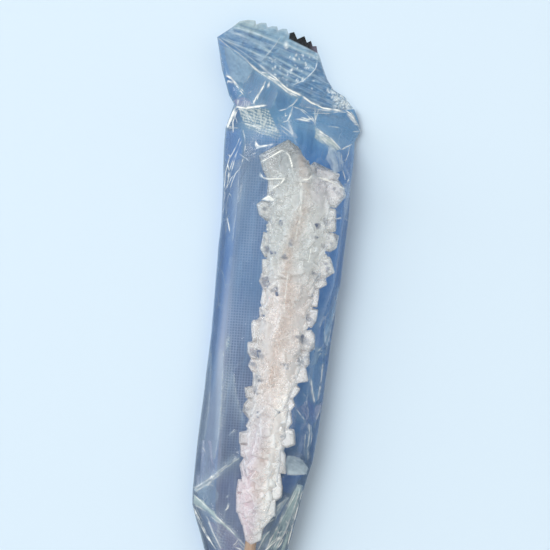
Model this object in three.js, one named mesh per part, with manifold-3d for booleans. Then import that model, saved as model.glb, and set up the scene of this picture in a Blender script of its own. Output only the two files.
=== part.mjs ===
// Rock candy stick in its clear flow-wrap bag, lying down. Millimetres, +Z up.
// +Y runs along the stick towards the crimped end seal, the handle points to -Y,
// and the surface it lies on is z = 0.
import * as THREE from "three";
import * as BufferGeometryUtils from "three/addons/utils/BufferGeometryUtils.js";
import Module from "manifold-3d";

// ---------------------------------------------------------------- driving sizes
const STICK_DIAMETER = 3.1;
const STICK_END_Y = -100;        // handle end
const STICK_TOP_Y = 58;          // end buried in the candy
const STICK_CHAMFER = 0.35;
const AXIS_Z_AT_0 = 8.9;         // height of the stick's axis above the surface at y = 0
const AXIS_RISE = 0.043;         // the thick end of the candy lifts the axis
const GAP = 0.3;                 // clearance between neighbouring solids

const CANDY_LOW_Y = -39.5;       // thin end, towards the handle
const CANDY_HIGH_Y = 70.5;       // tip of the top crystal
const CORE_SHARE = 0.66;         // solid core, as a share of the candy's half width
const CRYSTAL_SIZE = 7.8;        // edge of an ordinary crystal block at the thick end
const CRYSTAL_PITCH = 7.3;       // spacing of the crystal rows along the stick
const SEED = 20417;

const FILM = 0.5;                // solid thickness kept at the bag's folded edges
const SEAL_THICK = 0.6;
const SEAL_RIBS = 7;
const RIB_HEIGHT = 0.32;
const TEETH = 8;                 // zigzag teeth on the open part of the cut edge
const TOOTH_DEPTH = 1.25;
const NECK_Y = -61;              // the film is gathered tight round the stick here
const SKIRT_Y = -69.5;           // free lower hem of the film
const WALL = 1.3;                // least solid kept between the candy's space and the film
const BASE_FLAT = 0.0;           // the back of the bag lies on the surface
const PLEATS = 7;

const COLUMNS = 16;              // facets across each face of the bag
const BODY_STEPS = 42;
const SEAL_STEPS = 14;

// Outline of the candy: half widths left and right of the axis along its length.
// y, left, right
const CANDY_OUTLINE = [
  [-39.5, 1.9, 1.9], [-36, 3.4, 3.6], [-31, 5.4, 5.8], [-24, 6.4, 6.9], [-15, 7.2, 7.3], [-9, 7.2, 8.5],
  [0, 7.9, 7.8], [8, 8.2, 9.3], [16, 8.9, 9.8], [25, 8.0, 9.5], [36, 8.9, 12.0], [50, 11.4, 11.8],
  [58, 11.0, 12.4], [64, 12.6, 8.2], [70.5, 7.4, -3.0],
];

// Blocks that stand out of the cluster: x, y, length, width, turn about z, height off the axis, thickness
const KEY_CRYSTALS = [
  [-6.3, 63.6, 10.6, 8.6, 24, 2.6, 8.5], [7.2, 58.6, 9.2, 7.4, -32, 0.8, 8.0],
  [-8.6, 50.6, 6.0, 5.4, 40, 0.5, 6.0], [9.3, 52.0, 5.6, 5.6, 20, 2.0, 6.0],
  [-6.6, 39.5, 5.6, 5.2, 12, 1.5, 6.0], [9.2, 42.6, 6.2, 5.4, 35, 0.0, 6.2],
  [8.6, 34.6, 5.8, 5.0, -15, 1.0, 5.8], [-5.2, 21.0, 6.4, 5.2, 8, 0.8, 5.6],
  [-6.0, 14.2, 5.4, 4.8, -20, 0.6, 5.4], [6.9, 15.8, 5.6, 5.4, 30, 1.2, 5.4],
  [7.1, 7.6, 4.7, 4.6, 4, 0.4, 5.2], [-5.0, 1.6, 5.2, 4.6, 34, 0.8, 5.0],
  [5.2, 1.2, 5.0, 4.4, -24, 1.2, 5.0], [-4.6, -11.2, 4.8, 4.0, 2, 0.8, 4.6],
  [5.6, -10.4, 4.9, 4.2, 6, 0.2, 4.6], [-3.5, -25.5, 5.6, 5.2, 20, 0.6, 4.4],
  [3.6, -24.0, 5.4, 4.8, -28, 0.8, 4.6],
];

// Outline of the bag. Each section joins a point on its left fold to a point on its right side:
// left x, left y, right x, right y, height over the candy, height of the left fold, height of the right side
const BAG_SECTIONS = [
  [-28.0, 94.1, 10.6, 80.6, 4.8, 4.4, 4.6],
  [-24.4, 84.4, 12.4, 77.4, 9.0, 4.6, 5.4],
  [-21.0, 77.1, 14.1, 74.6, 14.5, 4.6, 6.6],
  [-22.4, 70.4, 13.2, 70.8, 20.6, 4.0, 8.0],
  [-21.4, 60.0, 13.9, 61.0, 23.6, 3.6, 9.4],
  [-19.9, 42.0, 14.1, 42.0, 22.6, 3.2, 9.2],
  [-18.9, 22.0, 14.0, 22.0, 20.2, 3.0, 7.8],
  [-18.3, 0.0, 13.7, 0.0, 18.4, 3.0, 6.4],
  [-17.8, -22.0, 12.3, -22.0, 16.4, 3.0, 5.4],
  [-17.2, -31.0, 11.3, -31.0, 14.6, 3.4, 5.2],
  [-12.6, -42.0, 9.8, -41.5, 12.0, 4.6, 5.2],
  [-6.4, -52.5, 5.8, -52.5, 9.8, 5.9, 5.9],
  [-2.7, NECK_Y, 2.7, NECK_Y, 8.9, 6.28, 6.28],
  [-5.6, SKIRT_Y, 5.6, SKIRT_Y, 8.8, 5.9, 5.9],
];
const SEAL_TOP_LEFT = [-22.6, 99.6];
const SEAL_TOP_RIGHT = [-0.6, 94.6];

// ---------------------------------------------------------------- small helpers
const RAD = Math.PI / 180;
const lerp = (a, b, t) => a + (b - a) * t;
const clamp = (v, lo, hi) => Math.min(hi, Math.max(lo, v));
const smooth = (t) => { const s = clamp(t, 0, 1); return s * s * (3 - 2 * s); };
const axisZ = (y) => AXIS_Z_AT_0 + AXIS_RISE * y;

function randomFrom(seed) {                       // small repeatable generator
  let s = seed >>> 0;
  return () => {
    s = (Math.imul(s, 1664525) + 1013904223) >>> 0;
    return s / 4294967296;
  };
}

function catmull(rows, t) {                       // smooth curve through the rows, t in 0..1
  const n = rows.length - 1;
  const f = clamp(t, 0, 1) * n, i = Math.min(n - 1, Math.floor(f)), k = f - i;
  const p0 = rows[Math.max(0, i - 1)], p1 = rows[i], p2 = rows[i + 1], p3 = rows[Math.min(n, i + 2)];
  return p1.map((_, c) => {
    const m1 = (p2[c] - p0[c]) / 2, m2 = (p3[c] - p1[c]) / 2;
    const k2 = k * k, k3 = k2 * k;
    return (2 * k3 - 3 * k2 + 1) * p1[c] + (k3 - 2 * k2 + k) * m1 + (-2 * k3 + 3 * k2) * p2[c] + (k3 - k2) * m2;
  });
}

function candySides(y) {                          // half widths of the candy at y
  const rows = CANDY_OUTLINE;
  if (y <= rows[0][0]) return [rows[0][1], rows[0][2]];
  for (let i = 0; i < rows.length - 1; i++) {
    if (y <= rows[i + 1][0]) {
      const k = (y - rows[i][0]) / (rows[i + 1][0] - rows[i][0]);
      return [lerp(rows[i][1], rows[i + 1][1], k), lerp(rows[i][2], rows[i + 1][2], k)];
    }
  }
  const last = rows[rows.length - 1];
  return [last[1], last[2]];
}

// The space of the candy round its axis at y: middle offset and half widths sideways, up and down.
function candySpace(y) {
  const [left, right] = candySides(y);
  const half = (right + left) / 2, up = (half + 2 * 9.4) / 3;
  return { middle: (right - left) / 2, half, up: Math.min(half, up), down: Math.min(half, up, axisZ(y) - 0.75) };
}

function candyRadius(y, angle, grow) {
  const { middle, half, up, down } = candySpace(y), c = Math.cos(angle), s = Math.sin(angle);
  return [middle + (half + grow) * c, ((s > 0 ? up : down) + grow) * s];
}

// Moves a block towards the axis until none of its corners leaves the candy's space.
function fitInside(geometry) {
  const p = geometry.attributes.position;
  for (let round = 0; round < 4; round++) {
    let over = 0, sx = 0, sz = 0, high = -1e9, low = 1e9;
    for (let i = 0; i < p.count; i++) {
      const y = p.getY(i), { middle, half, up, down } = candySpace(clamp(y, CANDY_LOW_Y, CANDY_HIGH_Y));
      const dx = p.getX(i) - middle, dz = p.getZ(i) - axisZ(y), tall = dz > 0 ? up : down;
      const ratio = Math.hypot(dx / half, dz / tall), excess = (1 - 1 / ratio) * Math.hypot(dx, dz);
      if (ratio > 1 && excess > over) {
        over = excess;
        sx = -dx / Math.hypot(dx, dz);
        sz = -dz / Math.hypot(dx, dz);
      }
      high = Math.max(high, y);
      low = Math.min(low, y);
    }
    geometry.translate(over * sx, Math.min(0, CANDY_HIGH_Y - high) + Math.max(0, CANDY_LOW_Y - low), over * sz);
  }
  return geometry;
}

// ---------------------------------------------------------------- solids
const wasm = await Module();
wasm.setup();

function solidFrom(geometry) {
  let g = geometry.clone();
  g.deleteAttribute("normal");
  g.deleteAttribute("uv");
  g = BufferGeometryUtils.mergeVertices(g, 1e-4);
  return new wasm.Manifold(new wasm.Mesh({
    numProp: 3,
    vertProperties: new Float32Array(g.attributes.position.array),
    triVerts: new Uint32Array(g.index.array),
  }));
}

// The outer skin alone: closed pockets between crystals are filled with sugar.
function outerSkin(manifold) {
  return manifold.decompose().reduce((best, m) => (m.volume() > best.volume() ? m : best));
}

function geometryFrom(manifold) {
  const m = manifold.getMesh();
  const g = new THREE.BufferGeometry();
  const v = new Float32Array(m.numVert * 3);
  for (let i = 0; i < m.numVert; i++) {
    for (let c = 0; c < 3; c++) v[3 * i + c] = m.vertProperties[m.numProp * i + c];
  }
  g.setAttribute("position", new THREE.BufferAttribute(v, 3));
  g.setIndex(new THREE.BufferAttribute(new Uint32Array(m.triVerts), 1));
  g.computeVertexNormals();
  return g;
}

// A closed skin through equal rings of points, with a fan over each end.
function loft(rings) {
  const n = rings[0].length, positions = [], index = [];
  for (const ring of rings) for (const p of ring) positions.push(...p);
  for (let i = 0; i < rings.length - 1; i++) {
    for (let j = 0; j < n; j++) {
      const a = i * n + j, b = i * n + ((j + 1) % n), c = a + n, d = b + n;
      index.push(a, b, d, a, d, c);
    }
  }
  for (const [i, flip] of [[0, true], [rings.length - 1, false]]) {
    const ring = rings[i], mid = [0, 0, 0];
    for (const p of ring) for (let c = 0; c < 3; c++) mid[c] += p[c] / n;
    const hub = positions.length / 3;
    positions.push(...mid);
    for (let j = 0; j < n; j++) {
      const a = i * n + j, b = i * n + ((j + 1) % n);
      if (flip) index.push(hub, b, a); else index.push(hub, a, b);
    }
  }
  const g = new THREE.BufferGeometry();
  g.setAttribute("position", new THREE.Float32BufferAttribute(positions, 3));
  g.setIndex(index);
  return g;
}

function outwards(manifoldMaker, rings) {         // turns the rings round if the skin faces in
  let m = manifoldMaker(loft(rings));
  if (m.volume() < 0) m = manifoldMaker(loft(rings.map((r) => [...r].reverse())));
  return m;
}

// ---------------------------------------------------------------- stick
function stickGeometry(extra, y0, y1, chamfer) {
  const r = STICK_DIAMETER / 2 + extra, profile = [
    new THREE.Vector2(0, y0), new THREE.Vector2(r - chamfer, y0), new THREE.Vector2(r, y0 + chamfer),
    new THREE.Vector2(r, y1 - chamfer), new THREE.Vector2(r - chamfer, y1), new THREE.Vector2(0, y1),
  ];
  const g = new THREE.LatheGeometry(profile, 18);
  const lean = Math.atan(AXIS_RISE);
  g.applyMatrix4(new THREE.Matrix4().makeRotationX(lean));
  g.translate(0, 0, AXIS_Z_AT_0);
  return g;
}

// ---------------------------------------------------------------- candy
// One sugar crystal: a slightly skewed block, the large ones with one corner bevelled off.
function crystal(length, width, height, skew, bevel) {
  const s = new THREE.Shape(), a = length / 2, b = width / 2, k = bevel * Math.min(a, b);
  s.moveTo(-a, -b);
  s.lineTo(a, -b);
  if (bevel > 0) {
    s.lineTo(a, b - k);
    s.lineTo(a - k, b);
  } else {
    s.lineTo(a, b);
  }
  s.lineTo(-a, b);
  s.closePath();
  const g = new THREE.ExtrudeGeometry(s, { depth: height, bevelEnabled: false, steps: 1 });
  g.translate(0, 0, -height / 2);
  g.applyMatrix4(new THREE.Matrix4().set(1, 0, skew, 0, 0, 1, skew * 0.5, 0, 0, 0, 1, 0, 0, 0, 0, 1));
  return g;
}

function envelope(grow, from, to, steps, sides) {
  const rings = [];
  for (let i = 0; i <= steps; i++) {
    const y = lerp(from, to, i / steps), ring = [];
    for (let j = 0; j < sides; j++) {
      const a = (2 * Math.PI * j) / sides, [x, z] = candyRadius(y, a, grow);
      ring.push([x, y, axisZ(y) + z]);
    }
    rings.push(ring);
  }
  return outwards(solidFrom, rings);
}

function candySolid() {
  const random = randomFrom(SEED);
  const core = [];
  for (let i = 0; i <= 7; i++) {
    const y = lerp(CANDY_LOW_Y + 3.2, CANDY_HIGH_Y - 8.5, i / 7), [left, right] = candySides(y), ring = [];
    const half = Math.max(2.75, CORE_SHARE * (left + right) / 2), middle = 0.5 * (right - left) / 2;
    for (let j = 0; j < 8; j++) {
      const a = (2 * Math.PI * j) / 8;
      ring.push([middle + half * Math.cos(a), y, axisZ(y) + half * 0.92 * Math.sin(a)]);
    }
    core.push(ring);
  }
  let candy = outwards(solidFrom, core);

  const place = (geometry, x, y, z, tiltX, tiltY, turn) => {
    const m = new THREE.Matrix4().makeRotationFromEuler(new THREE.Euler(tiltX, tiltY, turn));
    m.setPosition(x, y, z);
    return solidFrom(fitInside(geometry.applyMatrix4(m)));
  };

  for (const [x, y, length, width, turn, lift, thick] of KEY_CRYSTALS) {
    const g = crystal(length, width, thick, 0.1, 0.3);
    candy = candy.add(place(g, x, y, axisZ(y) + lift, (random() - 0.5) * 0.5, (random() - 0.5) * 0.5, turn * RAD));
  }

  let row = 0;
  for (let y = CANDY_LOW_Y + 3.5; y < CANDY_HIGH_Y - 6; y += CRYSTAL_PITCH, row++) {
    const [left, right] = candySides(y), half = (left + right) / 2;
    const size = CRYSTAL_SIZE * clamp(0.42 + 0.58 * half / 11, 0.5, 1);
    const count = Math.max(3, Math.round((2 * Math.PI * half * 0.74) / size));
    for (let k = 0; k < count; k++) {
      const angle = (2 * Math.PI * (k + (row % 2) * 0.5 + 0.45 * (random() - 0.5))) / count;
      const s = size * (0.78 + 0.42 * random());
      const [ex, ez] = candyRadius(y, angle, 0);
      const reach = 1 - (0.34 + 0.12 * random()) * s / Math.hypot(ex, ez);
      const g = crystal(s * (0.95 + 0.3 * random()), s * (0.75 + 0.25 * random()), s * 0.95, 0.12, 0);
      candy = candy.add(place(g, ex * reach, y + 2.2 * (random() - 0.5), axisZ(y) + ez * reach,
        (random() - 0.5) * 1.6, (random() - 0.5) * 1.6, (random() - 0.5) * Math.PI));
    }
  }
  candy = candy.intersect(envelope(GAP, CANDY_LOW_Y - 1.4, CANDY_HIGH_Y + GAP, 24, 16));
  candy = candy.subtract(solidFrom(stickGeometry(GAP, CANDY_LOW_Y - 12, STICK_TOP_Y + GAP, 0.4)));
  return outerSkin(candy).simplify(0.04);
}

// ---------------------------------------------------------------- bag
// Sharp folds pressed into the film: from x, y to x, y, height, half width
const FOLDS = [
  [-23.5, 84.5, -18.2, 78.6, 1.4, 2.6], [-15.5, 82.4, -18.8, 76.0, -1.1, 2.4], [-6.4, 79.2, -9.5, 74.8, 1.0, 2.2],
  [-8.0, 77.5, -1.0, 72.4, 1.2, 2.4], [-0.6, 70.2, 9.4, 66.6, 1.3, 2.6], [-17.6, -28.0, -6.0, -19.0, 1.3, 2.4],
  [-17.0, -29.0, -3.6, -43.0, 1.4, 2.2], [11.6, -25.0, 6.0, -43.0, 1.0, 2.2],
];
function foldHeight(x, y) {
  let h = 0;
  for (const [x0, y0, x1, y1, high, wide] of FOLDS) {
    const dx = x1 - x0, dy = y1 - y0, t = clamp(((x - x0) * dx + (y - y0) * dy) / (dx * dx + dy * dy), 0, 1);
    const d = Math.hypot(x - x0 - t * dx, y - y0 - t * dy);
    h += high * Math.max(0, 1 - d / wide);
  }
  return h;
}

function bodyRing(t) {
  const [lx, ly, rx, ry, high, foldLeft, foldRight] = catmull(BAG_SECTIONS, t);
  const yMid = (ly + ry) / 2;
  const round = smooth((-44 - yMid) / 10);                    // 1 where the film is gathered round the stick
  const flat = 1 - smooth((yMid - 66) / 14);                  // 1 where the back lies on the surface
  const peakX = lerp((lx + rx) / 2, 0.4, 1 - smooth((yMid - 66) / 16));
  const zAxis = axisZ(yMid), top = [], bottom = [];
  for (let j = 0; j <= COLUMNS; j++) {
    const u = j / COLUMNS, ellipse = Math.sin(Math.PI * u), w = (1 - Math.cos(Math.PI * u)) / 2;
    const wide = lerp(0.45 * u + 0.55 * w, w, round);
    const x = lerp(lx, rx, wide), y = lerp(ly, ry, wide), edge = lerp(foldLeft, foldRight, smooth(u));
    const s = x < peakX ? 0.5 * (x - lx) / (peakX - lx) : 0.5 + 0.5 * (x - peakX) / (rx - peakX);
    const hill = Math.pow(Math.max(0, Math.sin(Math.PI * s)), 0.78);
    const pleat = round * 0.34 * Math.cos(2 * Math.PI * PLEATS * u) * ellipse;
    const crumple = (1 - round) * foldHeight(x, y) * Math.min(1, 3 * ellipse);
    let high0 = edge + (high - edge) * lerp(hill, ellipse, round) + pleat + crumple;
    const lowBody = lerp(edge, BASE_FLAT, Math.min(1, 2.4 * ellipse));
    const lowFree = edge - Math.min(2.2, 0.35 * (high - edge)) * ellipse;
    const lowRound = zAxis - (high - zAxis) * ellipse - pleat;
    let low = lerp(lerp(lowFree, lowBody, flat), lowRound, round);
    if (y > CANDY_LOW_Y - 3 && y < CANDY_HIGH_Y + 3 && j > 0 && j < COLUMNS) {   // the film passes over the candy
      const { middle, half, up, down } = candySpace(clamp(y, CANDY_LOW_Y, CANDY_HIGH_Y));
      const k = 1 - ((x - middle) / (half + WALL)) ** 2;
      if (k > 0) {
        high0 = Math.max(high0, axisZ(y) + (up + WALL) * Math.sqrt(k));
        low = Math.min(low, axisZ(y) - (down + WALL) * Math.sqrt(k));
      }
    }
    top.push([x, y, Math.max(high0, low + 0.2) + FILM / 2]);
    bottom.push([x, y, Math.max(BASE_FLAT, low - FILM / 2)]);
  }
  return [...top, ...bottom.reverse()];
}

function sealRing(v) {
  const [l0x, l0y, r0x, r0y, , edge, edgeRight] = BAG_SECTIONS[0];
  const lx = lerp(l0x, SEAL_TOP_LEFT[0], v), ly = lerp(l0y, SEAL_TOP_LEFT[1], v);
  const rx = lerp(r0x, SEAL_TOP_RIGHT[0], v), ry = lerp(r0y, SEAL_TOP_RIGHT[1], v) + 1.2 * Math.sin(Math.PI * v);
  const along = [rx - lx, ry - ly], len = Math.hypot(...along), up = [-along[1] / len, along[0] / len];
  const rib = RIB_HEIGHT * Math.sin(2 * Math.PI * SEAL_RIBS * v) * smooth(6 * v) * smooth(6 * (1 - v));
  const top = [], bottom = [];
  for (let j = 0; j <= COLUMNS; j++) {
    const u = j / COLUMNS;
    let x = lerp(lx, rx, u), y = lerp(ly, ry, u);
    if (v === 1) {                                             // teeth of the cut edge
      const phase = (u * COLUMNS) % 2 === 1 ? 1 : 0, inside = j > 1 && j < COLUMNS - 1 ? 1 : 0.3;
      x += up[0] * TOOTH_DEPTH * phase * inside;
      y += up[1] * TOOTH_DEPTH * phase * inside;
    }
    const wave = smooth(4 * v) * (0.9 * Math.sin(Math.PI * (u * 1.15 + 0.1)) - v * (1 - u));
    const z = lerp(edge, edgeRight, u) + 0.2 + wave + rib;
    top.push([x, y, z + SEAL_THICK / 2]);
    bottom.push([x, y, z - SEAL_THICK / 2]);
  }
  return [...top, ...bottom.reverse()];
}

function bagSolid() {
  const rings = [];
  for (let i = SEAL_STEPS; i > 0; i--) rings.push(sealRing(i / SEAL_STEPS));
  for (let i = 0; i <= BODY_STEPS; i++) rings.push(bodyRing(i / BODY_STEPS));
  const skin = outwards(solidFrom, rings);
  const room = envelope(2.2 * GAP, CANDY_LOW_Y - 1.8, CANDY_HIGH_Y + 2.2 * GAP, 24, 16)
    .add(solidFrom(stickGeometry(GAP, STICK_END_Y - 5, STICK_TOP_Y - 4, 0.2)));
  return skin.subtract(room);
}

// ---------------------------------------------------------------- assembly
function mesh(name, geometry, color, roughness, extra = {}) {
  const m = new THREE.Mesh(geometry, new THREE.MeshStandardMaterial({ color, roughness, metalness: 0, ...extra }));
  m.name = name;
  return m;
}

const group = new THREE.Group();
const stick = mesh("stick", stickGeometry(0, STICK_END_Y, STICK_TOP_Y, STICK_CHAMFER), 0xc9a27c, 0.75);
const candy = mesh("candy", geometryFrom(candySolid()), 0xdcd6d8, 0.25);
const bag = mesh("bag", geometryFrom(bagSolid()), 0x7f9fc8, 0.15, { transparent: true, opacity: 0.5 });
group.add(bag, candy, stick);

// The origin goes to the middle of the bottom of the whole object's box.
const box = new THREE.Box3().setFromObject(group);
group.position.set(-(box.min.x + box.max.x) / 2, -(box.min.y + box.max.y) / 2, -box.min.z);
group.updateMatrixWorld(true);

export default group;
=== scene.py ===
# Rock candy stick in its clear flow-wrap bag, lying on a pale surface.
# Work is done in a design frame in millimetres: +Y along the stick towards the crimped seal,
# z = 0 on the surface. place() turns it into the frame's metres.
import math
import bmesh
import bpy
import numpy as np
from mathutils import Euler, Matrix, Vector
from mathutils.geometry import delaunay_2d_cdt


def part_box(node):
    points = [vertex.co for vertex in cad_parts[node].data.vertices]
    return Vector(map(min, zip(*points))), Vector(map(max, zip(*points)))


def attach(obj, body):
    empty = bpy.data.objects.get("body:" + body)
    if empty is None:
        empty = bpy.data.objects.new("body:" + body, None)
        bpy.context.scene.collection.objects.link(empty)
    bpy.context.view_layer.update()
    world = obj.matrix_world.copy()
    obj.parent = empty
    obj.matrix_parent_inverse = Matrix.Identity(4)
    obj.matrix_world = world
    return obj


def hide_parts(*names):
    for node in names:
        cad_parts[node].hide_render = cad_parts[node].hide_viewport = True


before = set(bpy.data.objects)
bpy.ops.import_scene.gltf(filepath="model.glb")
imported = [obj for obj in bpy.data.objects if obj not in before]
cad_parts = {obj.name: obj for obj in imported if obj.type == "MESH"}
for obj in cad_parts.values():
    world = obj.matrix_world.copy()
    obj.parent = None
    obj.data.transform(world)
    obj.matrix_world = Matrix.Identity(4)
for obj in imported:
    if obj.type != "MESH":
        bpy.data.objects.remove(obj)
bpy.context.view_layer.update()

SHIFT_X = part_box("bag")[0].x * 1000 + 28.0
SHIFT_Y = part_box("stick")[0].y * 1000 + 99.959


def place(points):
    p = np.array(points, dtype=float)
    p[..., 0] += SHIFT_X
    p[..., 1] += SHIFT_Y
    return p * 0.001


# ------------------------------------------------------------------ sizes, as in the CAD
STICK_RADIUS, STICK_END_Y, STICK_TOP_Y = 1.55, -99.95, 57.9
CANDY_LOW_Y, CANDY_HIGH_Y = -39.5, 70.5
CANDY_OUTLINE = np.array([
    [-39.5, 1.9, 1.9], [-36, 3.4, 3.6], [-31, 5.4, 5.8], [-24, 6.4, 6.9], [-15, 7.2, 7.3], [-9, 7.2, 8.5],
    [0, 7.9, 7.8], [8, 8.2, 9.3], [16, 8.9, 9.8], [25, 8.0, 9.5], [36, 8.9, 12.0], [50, 11.4, 11.8],
    [58, 11.0, 12.4], [64, 12.6, 8.2], [70.5, 7.4, -3.0]])
# valleys between the blocks of the outline: loose crystals stay inside them
VALLEYS = np.array([
    [-39.5, 1.5, 1.5], [-36, 2.6, 2.7], [-32.5, 3.2, 3.6], [-28.5, 4.5, 4.5], [-24, 5.0, 5.1], [-19, 5.2, 5.3],
    [-15, 5.4, 5.1], [-11, 5.3, 5.8], [-7, 5.3, 5.6], [-2, 5.6, 5.7], [3, 5.4, 6.1], [6, 5.0, 6.7], [10, 6.2, 7.2],
    [15, 6.8, 7.5], [20, 6.8, 7.7], [27, 6.5, 8.0], [31, 6.5, 8.8], [36, 6.9, 9.2], [43, 7.8, 9.9], [50, 8.2, 9.4],
    [56, 8.4, 9.0], [60, 8.6, 6.6], [64, 8.0, 1.6], [70.5, 6.8, -3.2]])
# left y, right y, height over the candy, height of the left fold, height of the right side
SECTIONS = np.array([
    [94.4, 80.4, 4.8, 4.4, 1.9], [84.4, 77.4, 8.4, 4.6, 1.7], [77.1, 74.6, 13.6, 4.6, 1.6],
    [70.4, 70.8, 20.2, 4.0, 2.4], [60.0, 61.0, 23.3, 3.6, 7.4], [42.0, 42.0, 22.3, 3.2, 8.4],
    [22.0, 22.0, 20.0, 3.0, 7.8], [0.0, 0.0, 18.2, 3.0, 8.2], [-22.0, -22.0, 16.2, 3.0, 8.8],
    [-31.0, -31.0, 14.4, 3.4, 9.0], [-42.0, -41.5, 12.0, 4.6, 8.6], [-52.5, -52.5, 9.8, 5.9, 7.0],
    [-61.0, -61.0, 8.9, 6.28, 6.28], [-69.5, -69.5, 8.8, 5.9, 5.9]])
LEFT = np.array([
    (-28.05, 94.4), (-25.5, 85.8), (-23.8, 81.9), (-22.7, 79.3), (-21.0, 77.1), (-21.8, 73.2), (-22.4, 70.4),
    (-22.2, 66.6), (-21.6, 60.1), (-21.0, 55.9), (-20.4, 49.4), (-20.0, 45.1), (-19.9, 38.6), (-19.6, 34.2),
    (-19.0, 24.0), (-18.5, 14.8), (-18.4, 6.1), (-18.2, -2.6), (-18.2, -7.8), (-18.1, -15.1), (-17.9, -20.6),
    (-17.6, -27.8), (-17.1, -31.8), (-15.5, -35.7), (-13.7, -39.5), (-12.3, -43.0), (-9.6, -48.0),
    (-6.0, -54.0), (-3.4, -59.0), (-2.6, -61.2), (-3.5, -65.0), (-5.4, -69.5)])
RIGHT = np.array([
    (11.4, 80.4), (12.8, 78.0), (14.0, 74.6), (12.8, 71.6), (13.2, 66.7), (13.2, 62.8), (13.2, 59.0), (13.7, 54.2),
    (13.9, 49.9), (14.0, 43.3), (14.0, 40.0), (14.2, 32.4), (13.8, 26.9), (14.0, 22.0), (13.8, 17.1), (13.9, 10.6),
    (13.8, 5.4), (13.9, 1.3), (13.8, -2.6), (13.7, -9.1), (13.4, -15.4), (12.75, -18.9), (12.15, -22.7),
    (11.6, -27.8), (10.7, -35.1), (10.0, -39.8), (8.5, -45.0), (6.2, -51.0), (3.6, -57.0), (2.6, -61.0),
    (3.4, -65.0), (5.2, -69.5)])
# lower border of the crimped band, and its cut edge
BORDER = np.array([
    (-28.05, 94.4), (-24.5, 92.3), (-19.4, 89.2), (-15.6, 87.0), (-12.8, 86.5), (-10.8, 85.7), (-8.7, 84.1),
    (-6.3, 83.0), (-3.1, 82.0), (0.0, 80.4), (2.6, 79.6), (5.4, 79.5), (8.2, 79.6), (11.4, 80.4)])
CUT_LEFT, CUT_RIGHT = np.array((-22.6, 99.5)), np.array((-0.4, 94.3))
# border of the knurled fin seal on the back film
FIN = np.array([
    (-17.2, 78.0), (-17.0, 65.2), (-16.7, 57.0), (-16.1, 46.2), (-15.9, 38.0), (-15.5, 27.2), (-15.0, 16.3),
    (-13.9, 2.9), (-12.6, -10.6), (-12.0, -18.7), (-11.0, -30.0), (-8.5, -44.0), (-2.0, -60.0)])

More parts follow.
